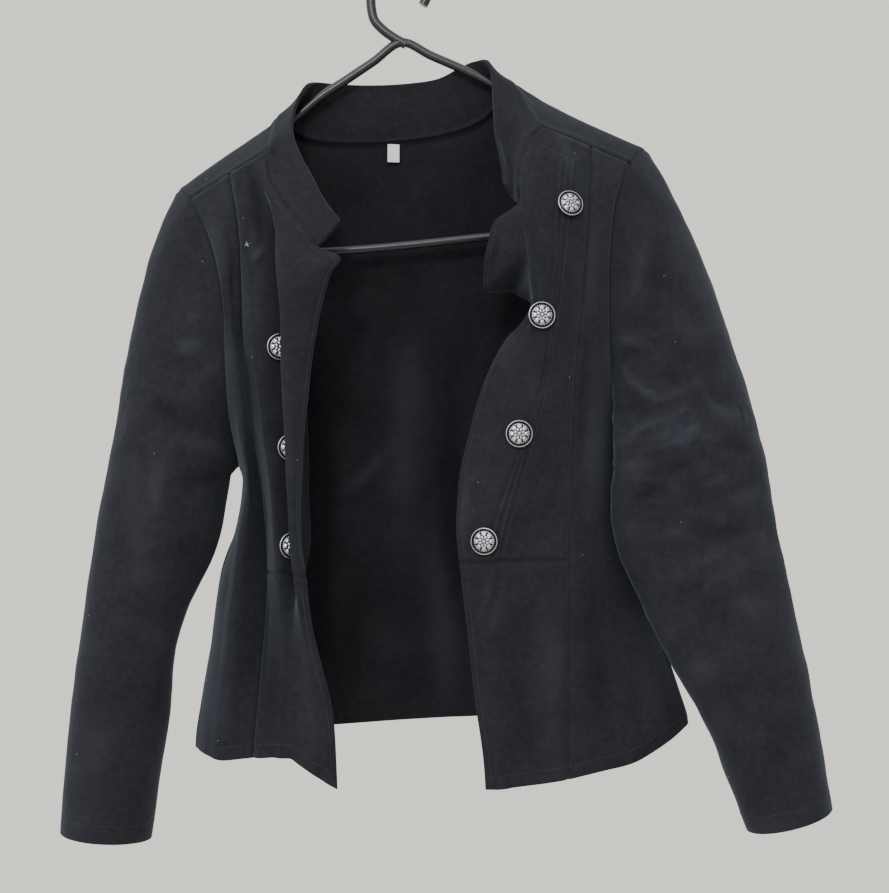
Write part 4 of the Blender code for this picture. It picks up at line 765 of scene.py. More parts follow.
@dataclass
class Shell:
    """A fine shell of one cut piece, over the same lines as its solid.

    Attributes:
        name: name of the made piece.
        coarse: grid of points in mm.
        outside: sign of the outer side.
        spacing: distance in mm between the shell's points.
        ring: True where the last column meets the first.
        even: True where the columns are read by number and not by distance.
        seams: edges that are sewn to another piece.
        rows: first and last row of the grid that the piece takes, or None for all.
        strength: factor on the height of its creases.
        points: the shell's points in mm.
        normals: their outward directions.
        hold: how free each point is of the seams, from 0 to 1.
        crest: how far each point was raised, in mm.
        crushed: how crushed the cloth is at each point, from 0 to 1.
        row_at: the grid's row at each row of points.
        column_at: the grid's column at each column of points.
        far: distance in mm of each point from each edge.
        cut: greatest width and length in metres, and area in square metres, of the flat cut.
    """

    name: str
    coarse: np.ndarray
    outside: float
    spacing: float = 2.6
    ring: bool = False
    even: bool = True
    seams: tuple[Edge, ...] = ()
    rows: tuple[int, int] | None = None
    strength: float = 1.6
    points: np.ndarray = field(init=False)
    normals: np.ndarray = field(init=False)
    hold: np.ndarray = field(init=False)
    crest: np.ndarray = field(init=False)
    crushed: np.ndarray = field(init=False)
    row_at: np.ndarray = field(init=False)
    column_at: np.ndarray = field(init=False)
    far: dict[Edge, np.ndarray] = field(init=False)
    cut: tuple[float, float, float] = field(init=False)

    def __post_init__(self) -> None:
        """Samples the coarse grid finely and measures how far each point is from each edge."""
        grid = self.coarse
        if self.ring:
            grid = np.concatenate((grid[:, -2:], grid, grid[:, :3]), axis=1)
        row_keys = np.arange(len(grid))
        steps = np.linalg.norm(np.diff(grid, axis=1), axis=2).mean(axis=0)
        column_keys = np.arange(grid.shape[1]) if self.even else np.concatenate(([0], np.cumsum(steps)))
        low, high = self.rows or (0, len(grid) - 1)
        self.row_at = self.sampled(grid[low:high + 1], low)
        first, last = (2, grid.shape[1] - 3) if self.ring else (0, grid.shape[1] - 1)
        across = self.sampled(grid[:, first:last + 1].transpose(1, 0, 2), first)
        self.column_at = across - first
        at = across if self.even else np.interp(across, np.arange(len(column_keys)), column_keys)
        fine = spline(row_keys, grid, self.row_at)
        fine = spline(column_keys, fine.transpose(1, 0, 2), at).transpose(1, 0, 2)
        if self.ring:
            fine[:, -1] = fine[:, 0]
        self.points = fine
        self.measure()
        self.crest = np.zeros(fine.shape[:2])
        self.crushed = np.zeros(fine.shape[:2])
        self.cut = self.flat_size()

    def flat_size(self) -> tuple[float, float, float]:
        """Size of the cut as it lies flat, measured along the cloth before it is creased.

        Returns:
            The greatest width and length in metres, and the area in square metres.
        """
        wide = float(self.far[Edge.START][:, -1].max()) * MM
        tall = float(self.far[Edge.TOP][-1].max()) * MM
        one, two = self.points[1:, 1:] - self.points[:-1, :-1], self.points[1:, :-1] - self.points[:-1, 1:]
        area = float(np.linalg.norm(np.cross(one, two), axis=-1).sum()) / 2 * MM * MM
        return round(wide, 3), round(tall, 3), min(area, wide * tall)

    def sampled(self, lines: np.ndarray, first: int) -> np.ndarray:
        """Places between lines, spaced evenly in mm, closer beside the first and last line.

        Args:
            lines: the points of each line.
            first: number of the first line.

        Returns:
            The places, as numbers of lines.
        """
        steps = np.linalg.norm(np.diff(lines, axis=0), axis=2).mean(axis=1)
        total = np.concatenate(([0], np.cumsum(steps)))
        inner = np.linspace(0, total[-1], max(3, round(total[-1] / self.spacing) + 1))
        close = np.array(CLOSE_LINES)
        inner = inner[(inner > EVEN_FROM) & (inner < total[-1] - EVEN_FROM)]
        places = np.concatenate(([0], close, inner, total[-1] - close[::-1], [total[-1]]))
        return first + np.interp(places, total, np.arange(len(total)))

    def measure(self) -> None:
        """Works out the normals, the distance to each edge and how firmly the seams hold."""
        if self.ring:
            body = self.points[:, :-1]
            wide = np.roll(body, -1, axis=1) - np.roll(body, 1, axis=1)
            wide = np.concatenate((wide, wide[:, :1]), axis=1)
        else:
            wide = np.gradient(self.points, axis=1)
        self.normals = unit(np.cross(wide, np.gradient(self.points, axis=0))) * self.outside
        down = np.linalg.norm(np.diff(self.points, axis=0), axis=2)
        over = np.linalg.norm(np.diff(self.points, axis=1), axis=2)
        down = np.concatenate((np.zeros((1, down.shape[1])), np.cumsum(down, axis=0)))
        over = np.concatenate((np.zeros((over.shape[0], 1)), np.cumsum(over, axis=1)), axis=1)
        self.far = {Edge.TOP: down, Edge.BOTTOM: down[-1:] - down,
                    Edge.START: over, Edge.END: over[:, -1:] - over}
        self.hold = np.ones(self.points.shape[:2])
        for edge in self.seams:
            self.hold *= smooth(self.far[edge] / SEAM_HOLD)

    def lift(self, height: np.ndarray) -> None:
        """Moves the points along their normals by a height in mm and notes the crests."""
        self.points = self.points + self.normals * height[..., None]
        self.crest = self.crest + height

    def edge_points(self, edge: Edge) -> np.ndarray:
        """Points along one edge."""
        return {Edge.TOP: self.points[0], Edge.BOTTOM: self.points[-1],
                Edge.START: self.points[:, 0], Edge.END: self.points[:, -1]}[edge]

    def meet(self, edge: Edge, target: np.ndarray, reach: float, first: int = 0) -> None:
        """Moves an edge onto the target's line, and eases the move into the piece.

        Args:
            edge: the edge that moves.
            target: points along the line that it meets.
            reach: how far into the piece the move fades, in mm.
            first: the edge's first point that moves.
        """
        mine = self.edge_points(edge)
        starts, ends = target[:-1], target[1:]
        along = ends - starts
        rel = mine[:, None] - starts[None]
        t = np.clip(np.sum(rel * along, axis=2) / np.maximum(np.sum(along**2, axis=1), 1e-9), 0, 1)
        near = starts + along * t[..., None]
        best = np.argmin(np.linalg.norm(mine[:, None] - near, axis=2), axis=1)
        shift = near[np.arange(len(mine)), best] - mine
        shift[:first] = 0.0
        if edge in (Edge.TOP, Edge.BOTTOM):
            shift = shift[None]
        else:
            shift = shift[:, None]
        self.points = self.points + shift * smooth(1 - self.far[edge] / reach)[..., None]
        self.measure()

    def mark(self, x0: float, y0: float, x1: float, y1: float, bow: float, width: float) -> np.ndarray:
        """Share from 0 to 1 of a soft mark over a bowed line that is given as the eye sees it.

        Args:
            x0: across of the start.
            y0: down of the start.
            x1: across of the end.
            y1: down of the end.
            bow: how far the middle lies aside of the straight line.
            width: width in mm.

        Returns:
            The share at each point.
        """
        start, run = np.array((x0, y0)), np.array((x1 - x0, y1 - y0))
        length = np.linalg.norm(run)
        rel = SIGHT.sighted(self.points) - start
        t = rel @ run / length**2
        inside = np.clip(t, 0, 1)
        aside = rel @ np.array((-run[1], run[0])) / length - bow * 4 * inside * (1 - inside)
        over = np.maximum(0, np.maximum(-t, t - 1)) * length
        far = np.hypot(aside, over) * SIGHT.scale
        return np.exp(-(far / width) ** 2) * faded(t, 0.03)

    def crease(self, row: tuple) -> None:
        """Raises or sinks a soft crease.

        Args:
            row: the mark's places, bow and width, its height in mm, and the side of a sleeve
                that it is on, 1 front, -1 back or 0 for both.
        """
        *places, height, face = row
        side = 1.0 if face == 0 else smooth(0.5 - 2.2 * face * self.normals[..., 1])
        self.lift(self.strength * height * self.mark(*places) * side * self.hold)

    def spot(self, across: float, down: float) -> tuple[np.ndarray, np.ndarray]:
        """Point and normal nearest to a measured place.

        Args:
            across: the place across.
            down: the place down.

        Returns:
            The point in mm and its normal.
        """
        aside = SIGHT.sighted(self.points) - np.array((across, down))
        at = np.unravel_index(np.argmin(np.sum(aside**2, axis=-1)), aside.shape[:2])
        return self.points[at], self.normals[at]

    def ripple(self, size: float, height: float, seed: float) -> None:
        """Adds a low uneven ripple.

        Args:
            size: rough size of a wave in mm.
            height: its height in mm.
            seed: where in the noise it is read.
        """
        flat = self.points.reshape(-1, 3)
        values = [noise.noise(Vector(tuple(p / size + seed))) for p in flat]
        self.lift(np.array(values).reshape(self.hold.shape) * height * self.hold)

    def crumple(self, across: float, down: float, reach: float, size: float, height: float) -> None:
        """Raises short sharp wrinkles that run every way, and fade out round a measured place.

        Args:
            across: the place across.
            down: the place down.
            reach: distance at which the wrinkles have faded to a third.
            size: rough length of a wrinkle in mm.
            height: height of the sharpest one in mm.
        """
        aside = SIGHT.sighted(self.points) - np.array((across, down))
        fade = np.exp(-np.sum(aside**2, axis=-1) / reach**2)
        flat = self.points.reshape(-1, 3) * np.array(WRINKLE_CLOSE)
        values = [(1 - abs(noise.noise(Vector(tuple(p / size + WRINKLE_SEED))))) ** WRINKLE_SHARP
                  for p in flat]
        self.lift(np.array(values).reshape(fade.shape) * height * fade * self.hold)
        self.crushed = np.maximum(self.crushed, fade * min(1.0, height / FULL_CRUSH))

    def groove(self, edge: Edge) -> None:
        """Sinks the cloth at a seam, and rounds it up beside it where the allowance lies.

        Args:
            edge: the edge where the seam is.
        """
        far = self.far[edge]
        height, middle, width = SEAM_SWELL
        swell = height * np.exp(-((far - middle) / width) ** 2)
        self.lift(swell - SEAM_DEPTH * np.exp(-(far / SEAM_WIDTH) ** 2))

    def stitched(self, edge: Edge, inset: float) -> tuple[np.ndarray, np.ndarray]:
        """Line beside an edge, for stitches to follow.

        Args:
            edge: the edge.
            inset: distance from it in mm.

        Returns:
            The line's points and their normals.
        """
        far = self.far[edge]
        order = far if edge in (Edge.START, Edge.END) else far.T
        points = self.points if edge in (Edge.START, Edge.END) else self.points.transpose(1, 0, 2)
        normals = self.normals if edge in (Edge.START, Edge.END) else self.normals.transpose(1, 0, 2)
        pick = np.argmin(np.abs(order - inset), axis=1)
        index = np.arange(len(pick))
        gap = (inset - order[index, pick])[:, None]
        step = 1 if edge in (Edge.START, Edge.TOP) else -1
        other = np.clip(pick + step, 0, order.shape[1] - 1)
        into = unit(points[index, other] - points[index, pick])
        return points[index, pick] + into * gap, normals[index, pick]

    def strip(self, name: str, rows: tuple[float, float], columns: tuple[float, float],
              lift: float, ease: float) -> Shell:
        """A part of this shell as its own piece, lifted off it with its edges sewn down.

        Args:
            name: name of the new piece.
            rows: first and last row that it takes.
            columns: first and last column that it takes.
            lift: height in mm of its middle over this shell.
            ease: distance in mm over which it rises from a long edge.

        Returns:
            The new piece.
        """
        piece = copy.copy(self)
        piece.name = name
        keep = np.ix_((self.row_at >= rows[0]) & (self.row_at <= rows[1]),
                      (self.column_at >= columns[0]) & (self.column_at <= columns[1]))
        piece.points, piece.crest, piece.crushed = self.points[keep], self.crest[keep], self.crushed[keep]
        facing = self.normals[keep]
        piece.seams = ()
        piece.measure()
        piece.cut = piece.flat_size()
        inset = np.minimum(piece.far[Edge.START], piece.far[Edge.END])
        ends = np.minimum(piece.far[Edge.TOP], piece.far[Edge.BOTTOM])
        risen = smooth(inset / ease) * smooth(ends / END_EASE)
        height = lift * (EDGE_SHARE + (1 - EDGE_SHARE) * risen)
        piece.points = piece.points + facing * height[..., None]
        piece.measure()
        return piece

    def build(self, thick: float) -> bpy.types.Object:
        """Makes the shell's mesh from a grid, with its thickness from Solidify.

        Args:
            thick: thickness in mm.

        Returns:
            The new object.
        """
        rows, columns = self.points.shape[:2]
        bm = bmesh.new()
        bmesh.ops.create_grid(bm, x_segments=columns - 1, y_segments=rows - 1, size=0.5, calc_uvs=True)
        mesh = bpy.data.meshes.new(self.name)
        bm.verts.ensure_lookup_table()
        wide, tall = self.far[Edge.START], self.far[Edge.TOP]
        uv = bm.loops.layers.uv.verify()
        for layer in ("crest", "crushed"):
            bm.verts.layers.float.new(layer)
        crest, crushed = (bm.verts.layers.float[layer] for layer in ("crest", "crushed"))
        for vert in bm.verts:
            i, j = divmod(vert.index, columns)
            vert[crest] = float(self.crest[i, j])
            vert[crushed] = float(self.crushed[i, j])
            for loop in vert.link_loops:
                loop[uv].uv = (wide[i, j] * MM, tall[i, j] * MM)
            vert.co = Vector(self.points[i, j] * MM)
        if self.ring:
            bmesh.ops.remove_doubles(bm, verts=bm.verts, dist=0.00001)
        if self.outside < 0:
            bmesh.ops.reverse_faces(bm, faces=bm.faces)
        for face in bm.faces:
            face.smooth = True
        bm.to_mesh(mesh)
        bm.free()
        obj = bpy.data.objects.new(self.name, mesh)
        bpy.context.scene.collection.objects.link(obj)
        wall = obj.modifiers.new("thickness", "SOLIDIFY")
        wall.thickness = thick * MM
        wall.offset = 0.0
        obj.modifiers.new("crisp_rim", "WEIGHTED_NORMAL").weight = RIM_WEIGHT
        return obj


@dataclass(frozen=True)
class Cloth:
    """Brushed cloth: dark navy with a matt nap and soft mottling; raised creases are painted paler, partly as
    worn nap and partly as a painted highlight, and hollows get painted shade.
    """

    name: str = "brushed_cloth"
    deep: tuple = (0.0146, 0.0146, 0.0170, 1.0)
    pale: tuple = (0.0206, 0.0206, 0.0239, 1.0)
    # Colour that raised creases turn to: partly worn nap, partly a painted highlight
    ridge: tuple = (0.0600, 0.0630, 0.0790, 1.0)
    # Share of the colour left in the deepest hollows: painted shade
    painted_hollow_shade: tuple = (0.64, 0.64, 0.65, 1.0)
    rough: float = 0.94
    sheen: float = 0.11
    sheen_tint: tuple = (0.74, 0.86, 1.0, 1.0)
    nap_scale: float = 2600.0
    mottle_scale: float = 210.0
    patch_scale: float = 38.0
    wrinkle_scale: float = 56.0
    wear_and_highlight_from: float = 0.1
    wear_and_highlight_to: float = 4.2
    wear_and_highlight_share: float = 0.36
    wrinkle_highlight_share: float = 0.07
    full_painted_shade_at: float = -2.6

    def make(self) -> bpy.types.Material:
        """Builds the cloth's nodes.

        Returns:
            The material.
        """
        mat, nodes, links, shader = material(self.name)
        where = nodes.new("ShaderNodeTexCoord")
        nap = texture(nodes, links, where, self.nap_scale, 3.0)
        mottle = texture(nodes, links, where, self.mottle_scale, 4.0)
        wide = texture(nodes, links, where, self.patch_scale, 3.0)
        base = ramp(nodes, links, mottle, 0.30, 0.72, self.deep, self.pale)
        shade = ramp(nodes, links, wide, 0.30, 0.75, (0.86, 0.86, 0.88, 1), (1.10, 1.10, 1.08, 1))
        tone = blend_colour(nodes, links, "MULTIPLY", 1.0, base, shade)
        # Raised creases are mixed towards the ridge colour, partly as worn nap and partly as a painted
        # highlight
        crest = nodes.new("ShaderNodeAttribute")
        crest.attribute_name = "crest"
        wear_and_highlight = nodes.new("ShaderNodeMapRange")
        wear_and_highlight.inputs["From Min"].default_value = self.wear_and_highlight_from
        wear_and_highlight.inputs["From Max"].default_value = self.wear_and_highlight_to
        wear_and_highlight.inputs["To Max"].default_value = self.wear_and_highlight_share
        links.new(crest.outputs["Fac"], wear_and_highlight.inputs["Value"])
        crushed = nodes.new("ShaderNodeAttribute")
        crushed.attribute_name = "crushed"
        # The short wrinkles' sharp noise raises a bump and gives their crests a painted highlight in the
        # ridge colour
        sharp = maths(nodes, links, texture(nodes, links, where, self.wrinkle_scale, 2.0, 0.35), (
            ("MULTIPLY_ADD", 3.4, -1.7), ("ABSOLUTE",), ("MINIMUM", 1.0), ("MULTIPLY_ADD", -1.0, 1.0),
            ("POWER", 1.7), ("MULTIPLY", crushed.outputs["Fac"])))
        share = maths(nodes, links, sharp,
                      (("MULTIPLY_ADD", self.wrinkle_highlight_share, wear_and_highlight.outputs["Result"]),))
        colour = blend_colour(nodes, links, "MIX", share, tone, None, self.ridge)
        folds = nodes.new("ShaderNodeBump")
        folds.inputs["Strength"].default_value = 0.8
        folds.inputs["Distance"].default_value = 0.0012
        links.new(sharp, folds.inputs["Height"])
        # Painted shade: the colour is darkened in creases, seam grooves and other hollows, the more the
        # deeper they sink
        painted_shade_share = nodes.new("ShaderNodeMapRange")
        painted_shade_share.inputs["From Min"].default_value = 0.0
        painted_shade_share.inputs["From Max"].default_value = self.full_painted_shade_at
        links.new(crest.outputs["Fac"], painted_shade_share.inputs["Value"])
        shaded = blend_colour(nodes, links, "MULTIPLY", painted_shade_share.outputs["Result"], colour, None, self.painted_hollow_shade)
        fibre = ramp(nodes, links, nap, 0.36, 0.68, (0.80, 0.80, 0.80, 1), (1.20, 1.20, 1.20, 1))
        links.new(blend_colour(nodes, links, "MULTIPLY", 1.0, shaded, fibre), shader.inputs["Base Color"])
        bump = nodes.new("ShaderNodeBump")
        bump.inputs["Strength"].default_value = 0.35
        bump.inputs["Distance"].default_value = 0.0004
        links.new(maths(nodes, links, nap, (("MULTIPLY_ADD", 0.5, mottle),)), bump.inputs["Height"])
        links.new(folds.outputs["Normal"], bump.inputs["Normal"])
        links.new(bump.outputs["Normal"], shader.inputs["Normal"])
        shader.inputs["Roughness"].default_value = self.rough
        shader.inputs["Specular IOR Level"].default_value = 0.08
        shader.inputs["Sheen Weight"].default_value = self.sheen
        shader.inputs["Sheen Tint"].default_value = self.sheen_tint
        shader.inputs["Sheen Roughness"].default_value = 0.45
        return mat


@dataclass(frozen=True)
class Thread:
    """Sewing thread in one colour, with a twist along its length."""

    name: str = "sewing_thread"
    colour: tuple = (0.019, 0.020, 0.026, 1.0)
    rough: float = 0.8

    def make(self) -> bpy.types.Material:
        """Builds the thread's nodes.

        Returns:
            The material.
        """
        mat, nodes, links, shader = material(self.name)
        twist = texture(nodes, links, nodes.new("ShaderNodeTexCoord"), 1800.0, 1.0)
        pale = tuple(c * 1.6 for c in self.colour[:3]) + (1.0,)
        links.new(ramp(nodes, links, twist, 0.35, 0.7, self.colour, pale), shader.inputs["Base Color"])
        shader.inputs["Roughness"].default_value = self.rough
        return mat


@dataclass(frozen=True)
class Silver:
    """Antiqued silver: bright worn relief over dark recesses."""

    name: str = "antiqued_silver"
    bright: tuple = (0.60, 0.60, 0.61, 1.0)
    dark: tuple = (0.030, 0.031, 0.035, 1.0)

    def make(self) -> bpy.types.Material:
        """Builds the metal's nodes.

        Returns:
            The material.
        """
        mat, nodes, links, shader = material(self.name)
        grime = texture(nodes, links, nodes.new("ShaderNodeTexCoord"), 1500.0, 4.0)
        relief = nodes.new("ShaderNodeAttribute")
        relief.attribute_name = "recess"
        total = nodes.new("ShaderNodeMath")
        total.operation = "MULTIPLY_ADD"
        total.inputs[1].default_value = 0.30
        links.new(grime, total.inputs[0])
        links.new(relief.outputs["Fac"], total.inputs[2])
        links.new(ramp(nodes, links, total.outputs["Value"], 0.34, 0.86, self.bright, self.dark),
                  shader.inputs["Base Color"])
        matt = ramp(nodes, links, total.outputs["Value"], 0.3, 0.9, (0.24,) * 3 + (1,), (0.62,) * 3 + (1,))
        links.new(matt, shader.inputs["Roughness"])
        shader.inputs["Metallic"].default_value = 1.0
        return mat


@dataclass(frozen=True)
class Plastic:
    """Black moulded plastic with a satin gloss and faint flow marks."""

    name: str = "moulded_plastic"
    colour: tuple = (0.0085, 0.0085, 0.0092, 1.0)

    def make(self) -> bpy.types.Material:
        """Builds the plastic's nodes.

        Returns:
            The material.
        """
        mat, nodes, links, shader = material(self.name)
        flow = texture(nodes, links, nodes.new("ShaderNodeTexCoord"), 320.0, 3.0)
        links.new(ramp(nodes, links, flow, 0.3, 0.8, self.colour, (0.017, 0.017, 0.018, 1)),
                  shader.inputs["Base Color"])
        links.new(ramp(nodes, links, flow, 0.3, 0.8, (0.28,) * 3 + (1,), (0.40,) * 3 + (1,)),
                  shader.inputs["Roughness"])
        return mat


@dataclass(frozen=True)
class Tape:
    """White woven tape of the bare tab."""

    name: str = "woven_tape"

    def make(self) -> bpy.types.Material:
        """Builds the tape's nodes, with its weave on the tab's own UV map.

        Returns:
            The material.
        """
        mat, nodes, links, shader = material(self.name)
        weave = nodes.new("ShaderNodeTexWave")
        weave.inputs["Scale"].default_value = 420.0
        weave.inputs["Distortion"].default_value = 1.0
        links.new(nodes.new("ShaderNodeTexCoord").outputs["UV"], weave.inputs["Vector"])
        colour = ramp(nodes, links, weave.outputs["Fac"], 0.1, 0.9,
                      (0.56, 0.55, 0.52, 1), (0.76, 0.75, 0.72, 1))
        links.new(colour, shader.inputs["Base Color"])
        shader.inputs["Roughness"].default_value = 0.75
        return mat


def material(name: str) -> tuple:
    """New material.

    Args:
        name: its name.

    Returns:
        The material, its nodes, its links and its shader.
    """
    mat = bpy.data.materials.new(name)
    mat.use_nodes = True
    tree = mat.node_tree
    return mat, tree.nodes, tree.links, tree.nodes["Principled BSDF"]


def texture(nodes: bpy.types.Nodes, links: bpy.types.NodeLinks, where: bpy.types.Node, scale: float,
            detail: float, twist: float = 0.0) -> bpy.types.NodeSocket:
    """Noise on Object coordinates.

    Args:
        nodes: the material's nodes.
        links: the material's links.
        where: the node that gives the coordinates.
        scale: how fine the noise is.
        detail: how many finer layers it has.
        twist: how far it is drawn into swirls.

    Returns:
        The noise's value.
    """
    made = nodes.new("ShaderNodeTexNoise")
    made.inputs["Scale"].default_value = scale
    made.inputs["Detail"].default_value = detail
    made.inputs["Distortion"].default_value = twist
    links.new(where.outputs["Object"], made.inputs["Vector"])
    return made.outputs["Fac"]


def maths(nodes: bpy.types.Nodes, links: bpy.types.NodeLinks, value: bpy.types.NodeSocket,
          steps: tuple) -> bpy.types.NodeSocket:
    """A value after a row of maths steps.

    Args:
        nodes: the material's nodes.
        links: the material's links.
        value: the value that the first step takes.
        steps: for each step its operation, then its further inputs, as numbers or sockets.

    Returns:
        The last step's value.
    """
    for operation, *others in steps:
        made = nodes.new("ShaderNodeMath")
        made.operation = operation
        links.new(value, made.inputs[0])
        for k, other in enumerate(others, start=1):
            if isinstance(other, float):
                made.inputs[k].default_value = other
            else:
                links.new(other, made.inputs[k])
        value = made.outputs["Value"]
    return value


def ramp(nodes: bpy.types.Nodes, links: bpy.types.NodeLinks, value: bpy.types.NodeSocket, low: float,
         high: float, start: tuple, end: tuple) -> bpy.types.NodeSocket:
    """Colour between two stops.

    Args:
        nodes: the material's nodes.
        links: the material's links.
        value: what is read.
        low: value at the first stop.
        high: value at the second stop.
        start: colour up to the first stop.
        end: colour from the second stop on.

    Returns:
        The colour.
    """
    made = nodes.new("ShaderNodeValToRGB")
    made.color_ramp.elements[0].position = low
    made.color_ramp.elements[1].position = high
    made.color_ramp.elements[0].color = start
    made.color_ramp.elements[1].color = end
    links.new(value, made.inputs["Fac"])
    return made.outputs["Color"]


def blend_colour(nodes: bpy.types.Nodes, links: bpy.types.NodeLinks, kind: str,
                 share: float | bpy.types.NodeSocket, a: bpy.types.NodeSocket,
                 b: bpy.types.NodeSocket | None, plain: tuple | None = None) -> bpy.types.NodeSocket:
    """Mix of two colours, the second from a socket or plain.

    Args:
        nodes: the material's nodes.
        links: the material's links.
        kind: how they are mixed.
        share: how much of the second colour there is.
        a: the first colour.
        b: the second colour, or None where it is plain.
        plain: the second colour where it is the same all over.

    Returns:
        The mixed colour.
    """
    made = nodes.new("ShaderNodeMix")
    made.data_type = "RGBA"
    made.blend_type = kind
    if isinstance(share, float):
        made.inputs["Factor"].default_value = share
    else:
        links.new(share, made.inputs["Factor"])
    links.new(a, made.inputs[6])
    if plain is None:
        links.new(b, made.inputs[7])
    else:
        made.inputs[7].default_value = plain
    return made.outputs[2]


def worn_by(obj: bpy.types.Object, mat: bpy.types.Material) -> bpy.types.Object:
    """Dresses a finished piece and lets it ride on the garment's one body.

    Args:
        obj: the piece.
        mat: its material.

    Returns:
        The piece.
    """
    obj.data.materials.clear()
    obj.data.materials.append(mat)
    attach(obj, "root")
    log.info("made %s with %d faces", obj.name, len(obj.data.polygons))
    return obj


@dataclass
class Rosette:
    """A domed metal button with a generic ring of leaves, a dark ring and a thin bright rim."""

    node: str
    leaves: int = 8
    beads: int = 28
    steps: int = 96
    foot: float = 1.8
    rise: float = 3.6
    round_to: float = 9.6
    dome: float = 8.4
    ring_from: float = 8.5
    rim_from: float = 9.9
    level: float = 0.55

    def leaf(self, r: float, wave: float, start: float, long: float) -> float:
        """Height of a ring of leaves.

        Args:
            r: distance from the button's middle in mm.
            wave: the leaves' wave round the button, from -1 to 1.
            start: where the leaves start, in mm from the middle.
            long: their length in mm.

        Returns:
            The height, from 0 to 1.
        """
        return abs(wave) ** 0.9 * math.sin(math.pi * min(1, max(0, (r - start) / long)))

    def relief(self, r: float, turn: float) -> float:
        """Height of the leaves with their veins, the boss and the beads.

        Args:
            r: distance from the button's middle in mm.
            turn: angle round it.

        Returns:
            The height in mm, 0 beside the leaves.
        """
        leaf = max(self.leaf(r, math.cos(turn * self.leaves / 2), 3.6, 4.4),
                   self.leaf(r, math.sin(turn * self.leaves / 2), 1.2, 3.8))
        vein = 0.5 + 0.5 * math.cos(turn * self.leaves * 3 + r * 2.4)
        boss = max(0.0, 1 - (r / 1.3) ** 2) ** 0.5 if r < 1.3 else 0.0
        bead = 0.5 + 0.5 * math.cos(turn * self.beads) if 7.5 < r < 8.4 else 0.0
        return min(1.0, leaf * 1.1 + boss + 0.8 * bead) - 0.42 * vein * leaf

    def build(self) -> bpy.types.Object:
        """Turns the profile and raises the leaves, at the CAD button's place and direction.

        Returns:
            The button.
        """
        cad = np.array([v.co for v in bpy.data.objects[self.node].data.vertices]) / MM
        centre = cad.mean(axis=0)
        axis = np.linalg.svd(cad - centre)[2][2]
        axis = axis * (-1 if axis[1] > 0 else 1)
        depth = (cad - centre) @ axis
        base = centre + axis * depth.min()
        profile = [(r, self.foot + self.rise * math.sqrt(max(0, 1 - (r / self.round_to) ** 2)))
                   for r in np.linspace(0.0, self.dome, 22)] + BUTTON_RIM
        bm = bmesh.new()
        verts = [bm.verts.new((r, 0, h)) for r, h in profile]
        edges = [bm.edges.new((a, b)) for a, b in zip(verts, verts[1:])]
        bmesh.ops.spin(bm, geom=verts + edges, cent=(0, 0, 0), axis=(0, 0, 1), angle=math.tau,
                       steps=self.steps, use_merge=True)
        bmesh.ops.remove_doubles(bm, verts=bm.verts, dist=0.001)
        rim = [e for e in bm.edges if e.is_boundary]
        bmesh.ops.holes_fill(bm, edges=rim, sides=self.steps)
        recess = bm.verts.layers.float.new("recess")
        for vert in bm.verts:
            r = math.hypot(vert.co.x, vert.co.y)
            turn = math.atan2(vert.co.y, vert.co.x)
            if vert.co.z < self.foot + 0.05 or r > self.rim_from:
                vert[recess] = 0.3 if r > 9.5 else 0.8
                continue
            if r > self.ring_from:
                vert[recess] = 1.0
                continue
            high = self.relief(r, turn)
            vert.co.z += high - self.level
            vert[recess] = max(0.0, min(1.0, 1.1 - 1.5 * high))
        turn_to = Vector(axis).to_track_quat("Z", "Y").to_matrix().to_4x4()
        bmesh.ops.transform(bm, matrix=Matrix.Translation(Vector(base * MM)) @ turn_to @ Matrix.Scale(MM, 4),
                            verts=bm.verts)
        bmesh.ops.recalc_face_normals(bm, faces=bm.faces)
        for face in bm.faces:
            face.smooth = True
        mesh = bpy.data.meshes.new("rosette_" + self.node[-2:])
        bm.to_mesh(mesh)
        bm.free()
        obj = bpy.data.objects.new(mesh.name, mesh)
        bpy.context.scene.collection.objects.link(obj)
        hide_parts(self.node)
        return obj


@dataclass
class StitchRow:
    """Rows of short stitches, each a small turned thread, joined as one piece."""

    name: str
    long: float = 2.4
    pitch: float = 3.3
    radius: float = 0.2
    lines: list = field(default_factory=list)

    def build(self) -> bpy.types.Object:
        """Lays the stitches along every line.

        Returns:
            The stitches as one object.
        """
        bm = bmesh.new()
        for points, normals in self.lines:
            steps = np.linalg.norm(np.diff(points, axis=0), axis=1)
            total = np.concatenate(([0], np.cumsum(steps)))
            for at in np.arange(self.pitch, total[-1] - self.pitch, self.pitch):
                spot, ahead, face = (np.array([np.interp(at + d, total, data[:, k]) for k in range(3)])
                                     for d, data in ((0, points), (0.8, points), (0, normals)))
                turn_to = Vector(ahead - spot).to_track_quat("Z", "Y").to_matrix().to_4x4()
                where = Vector((spot + face * (CLOTH_THICK / 2 + self.radius * 0.4)) * MM)
                bmesh.ops.create_cone(bm, cap_ends=True, segments=5, radius1=self.radius * MM,
                                      radius2=self.radius * MM, depth=self.long * MM,
                                      matrix=Matrix.Translation(where) @ turn_to)
        mesh = bpy.data.meshes.new(self.name)
        bm.to_mesh(mesh)
        bm.free()
        obj = bpy.data.objects.new(self.name, mesh)
        bpy.context.scene.collection.objects.link(obj)
        return obj


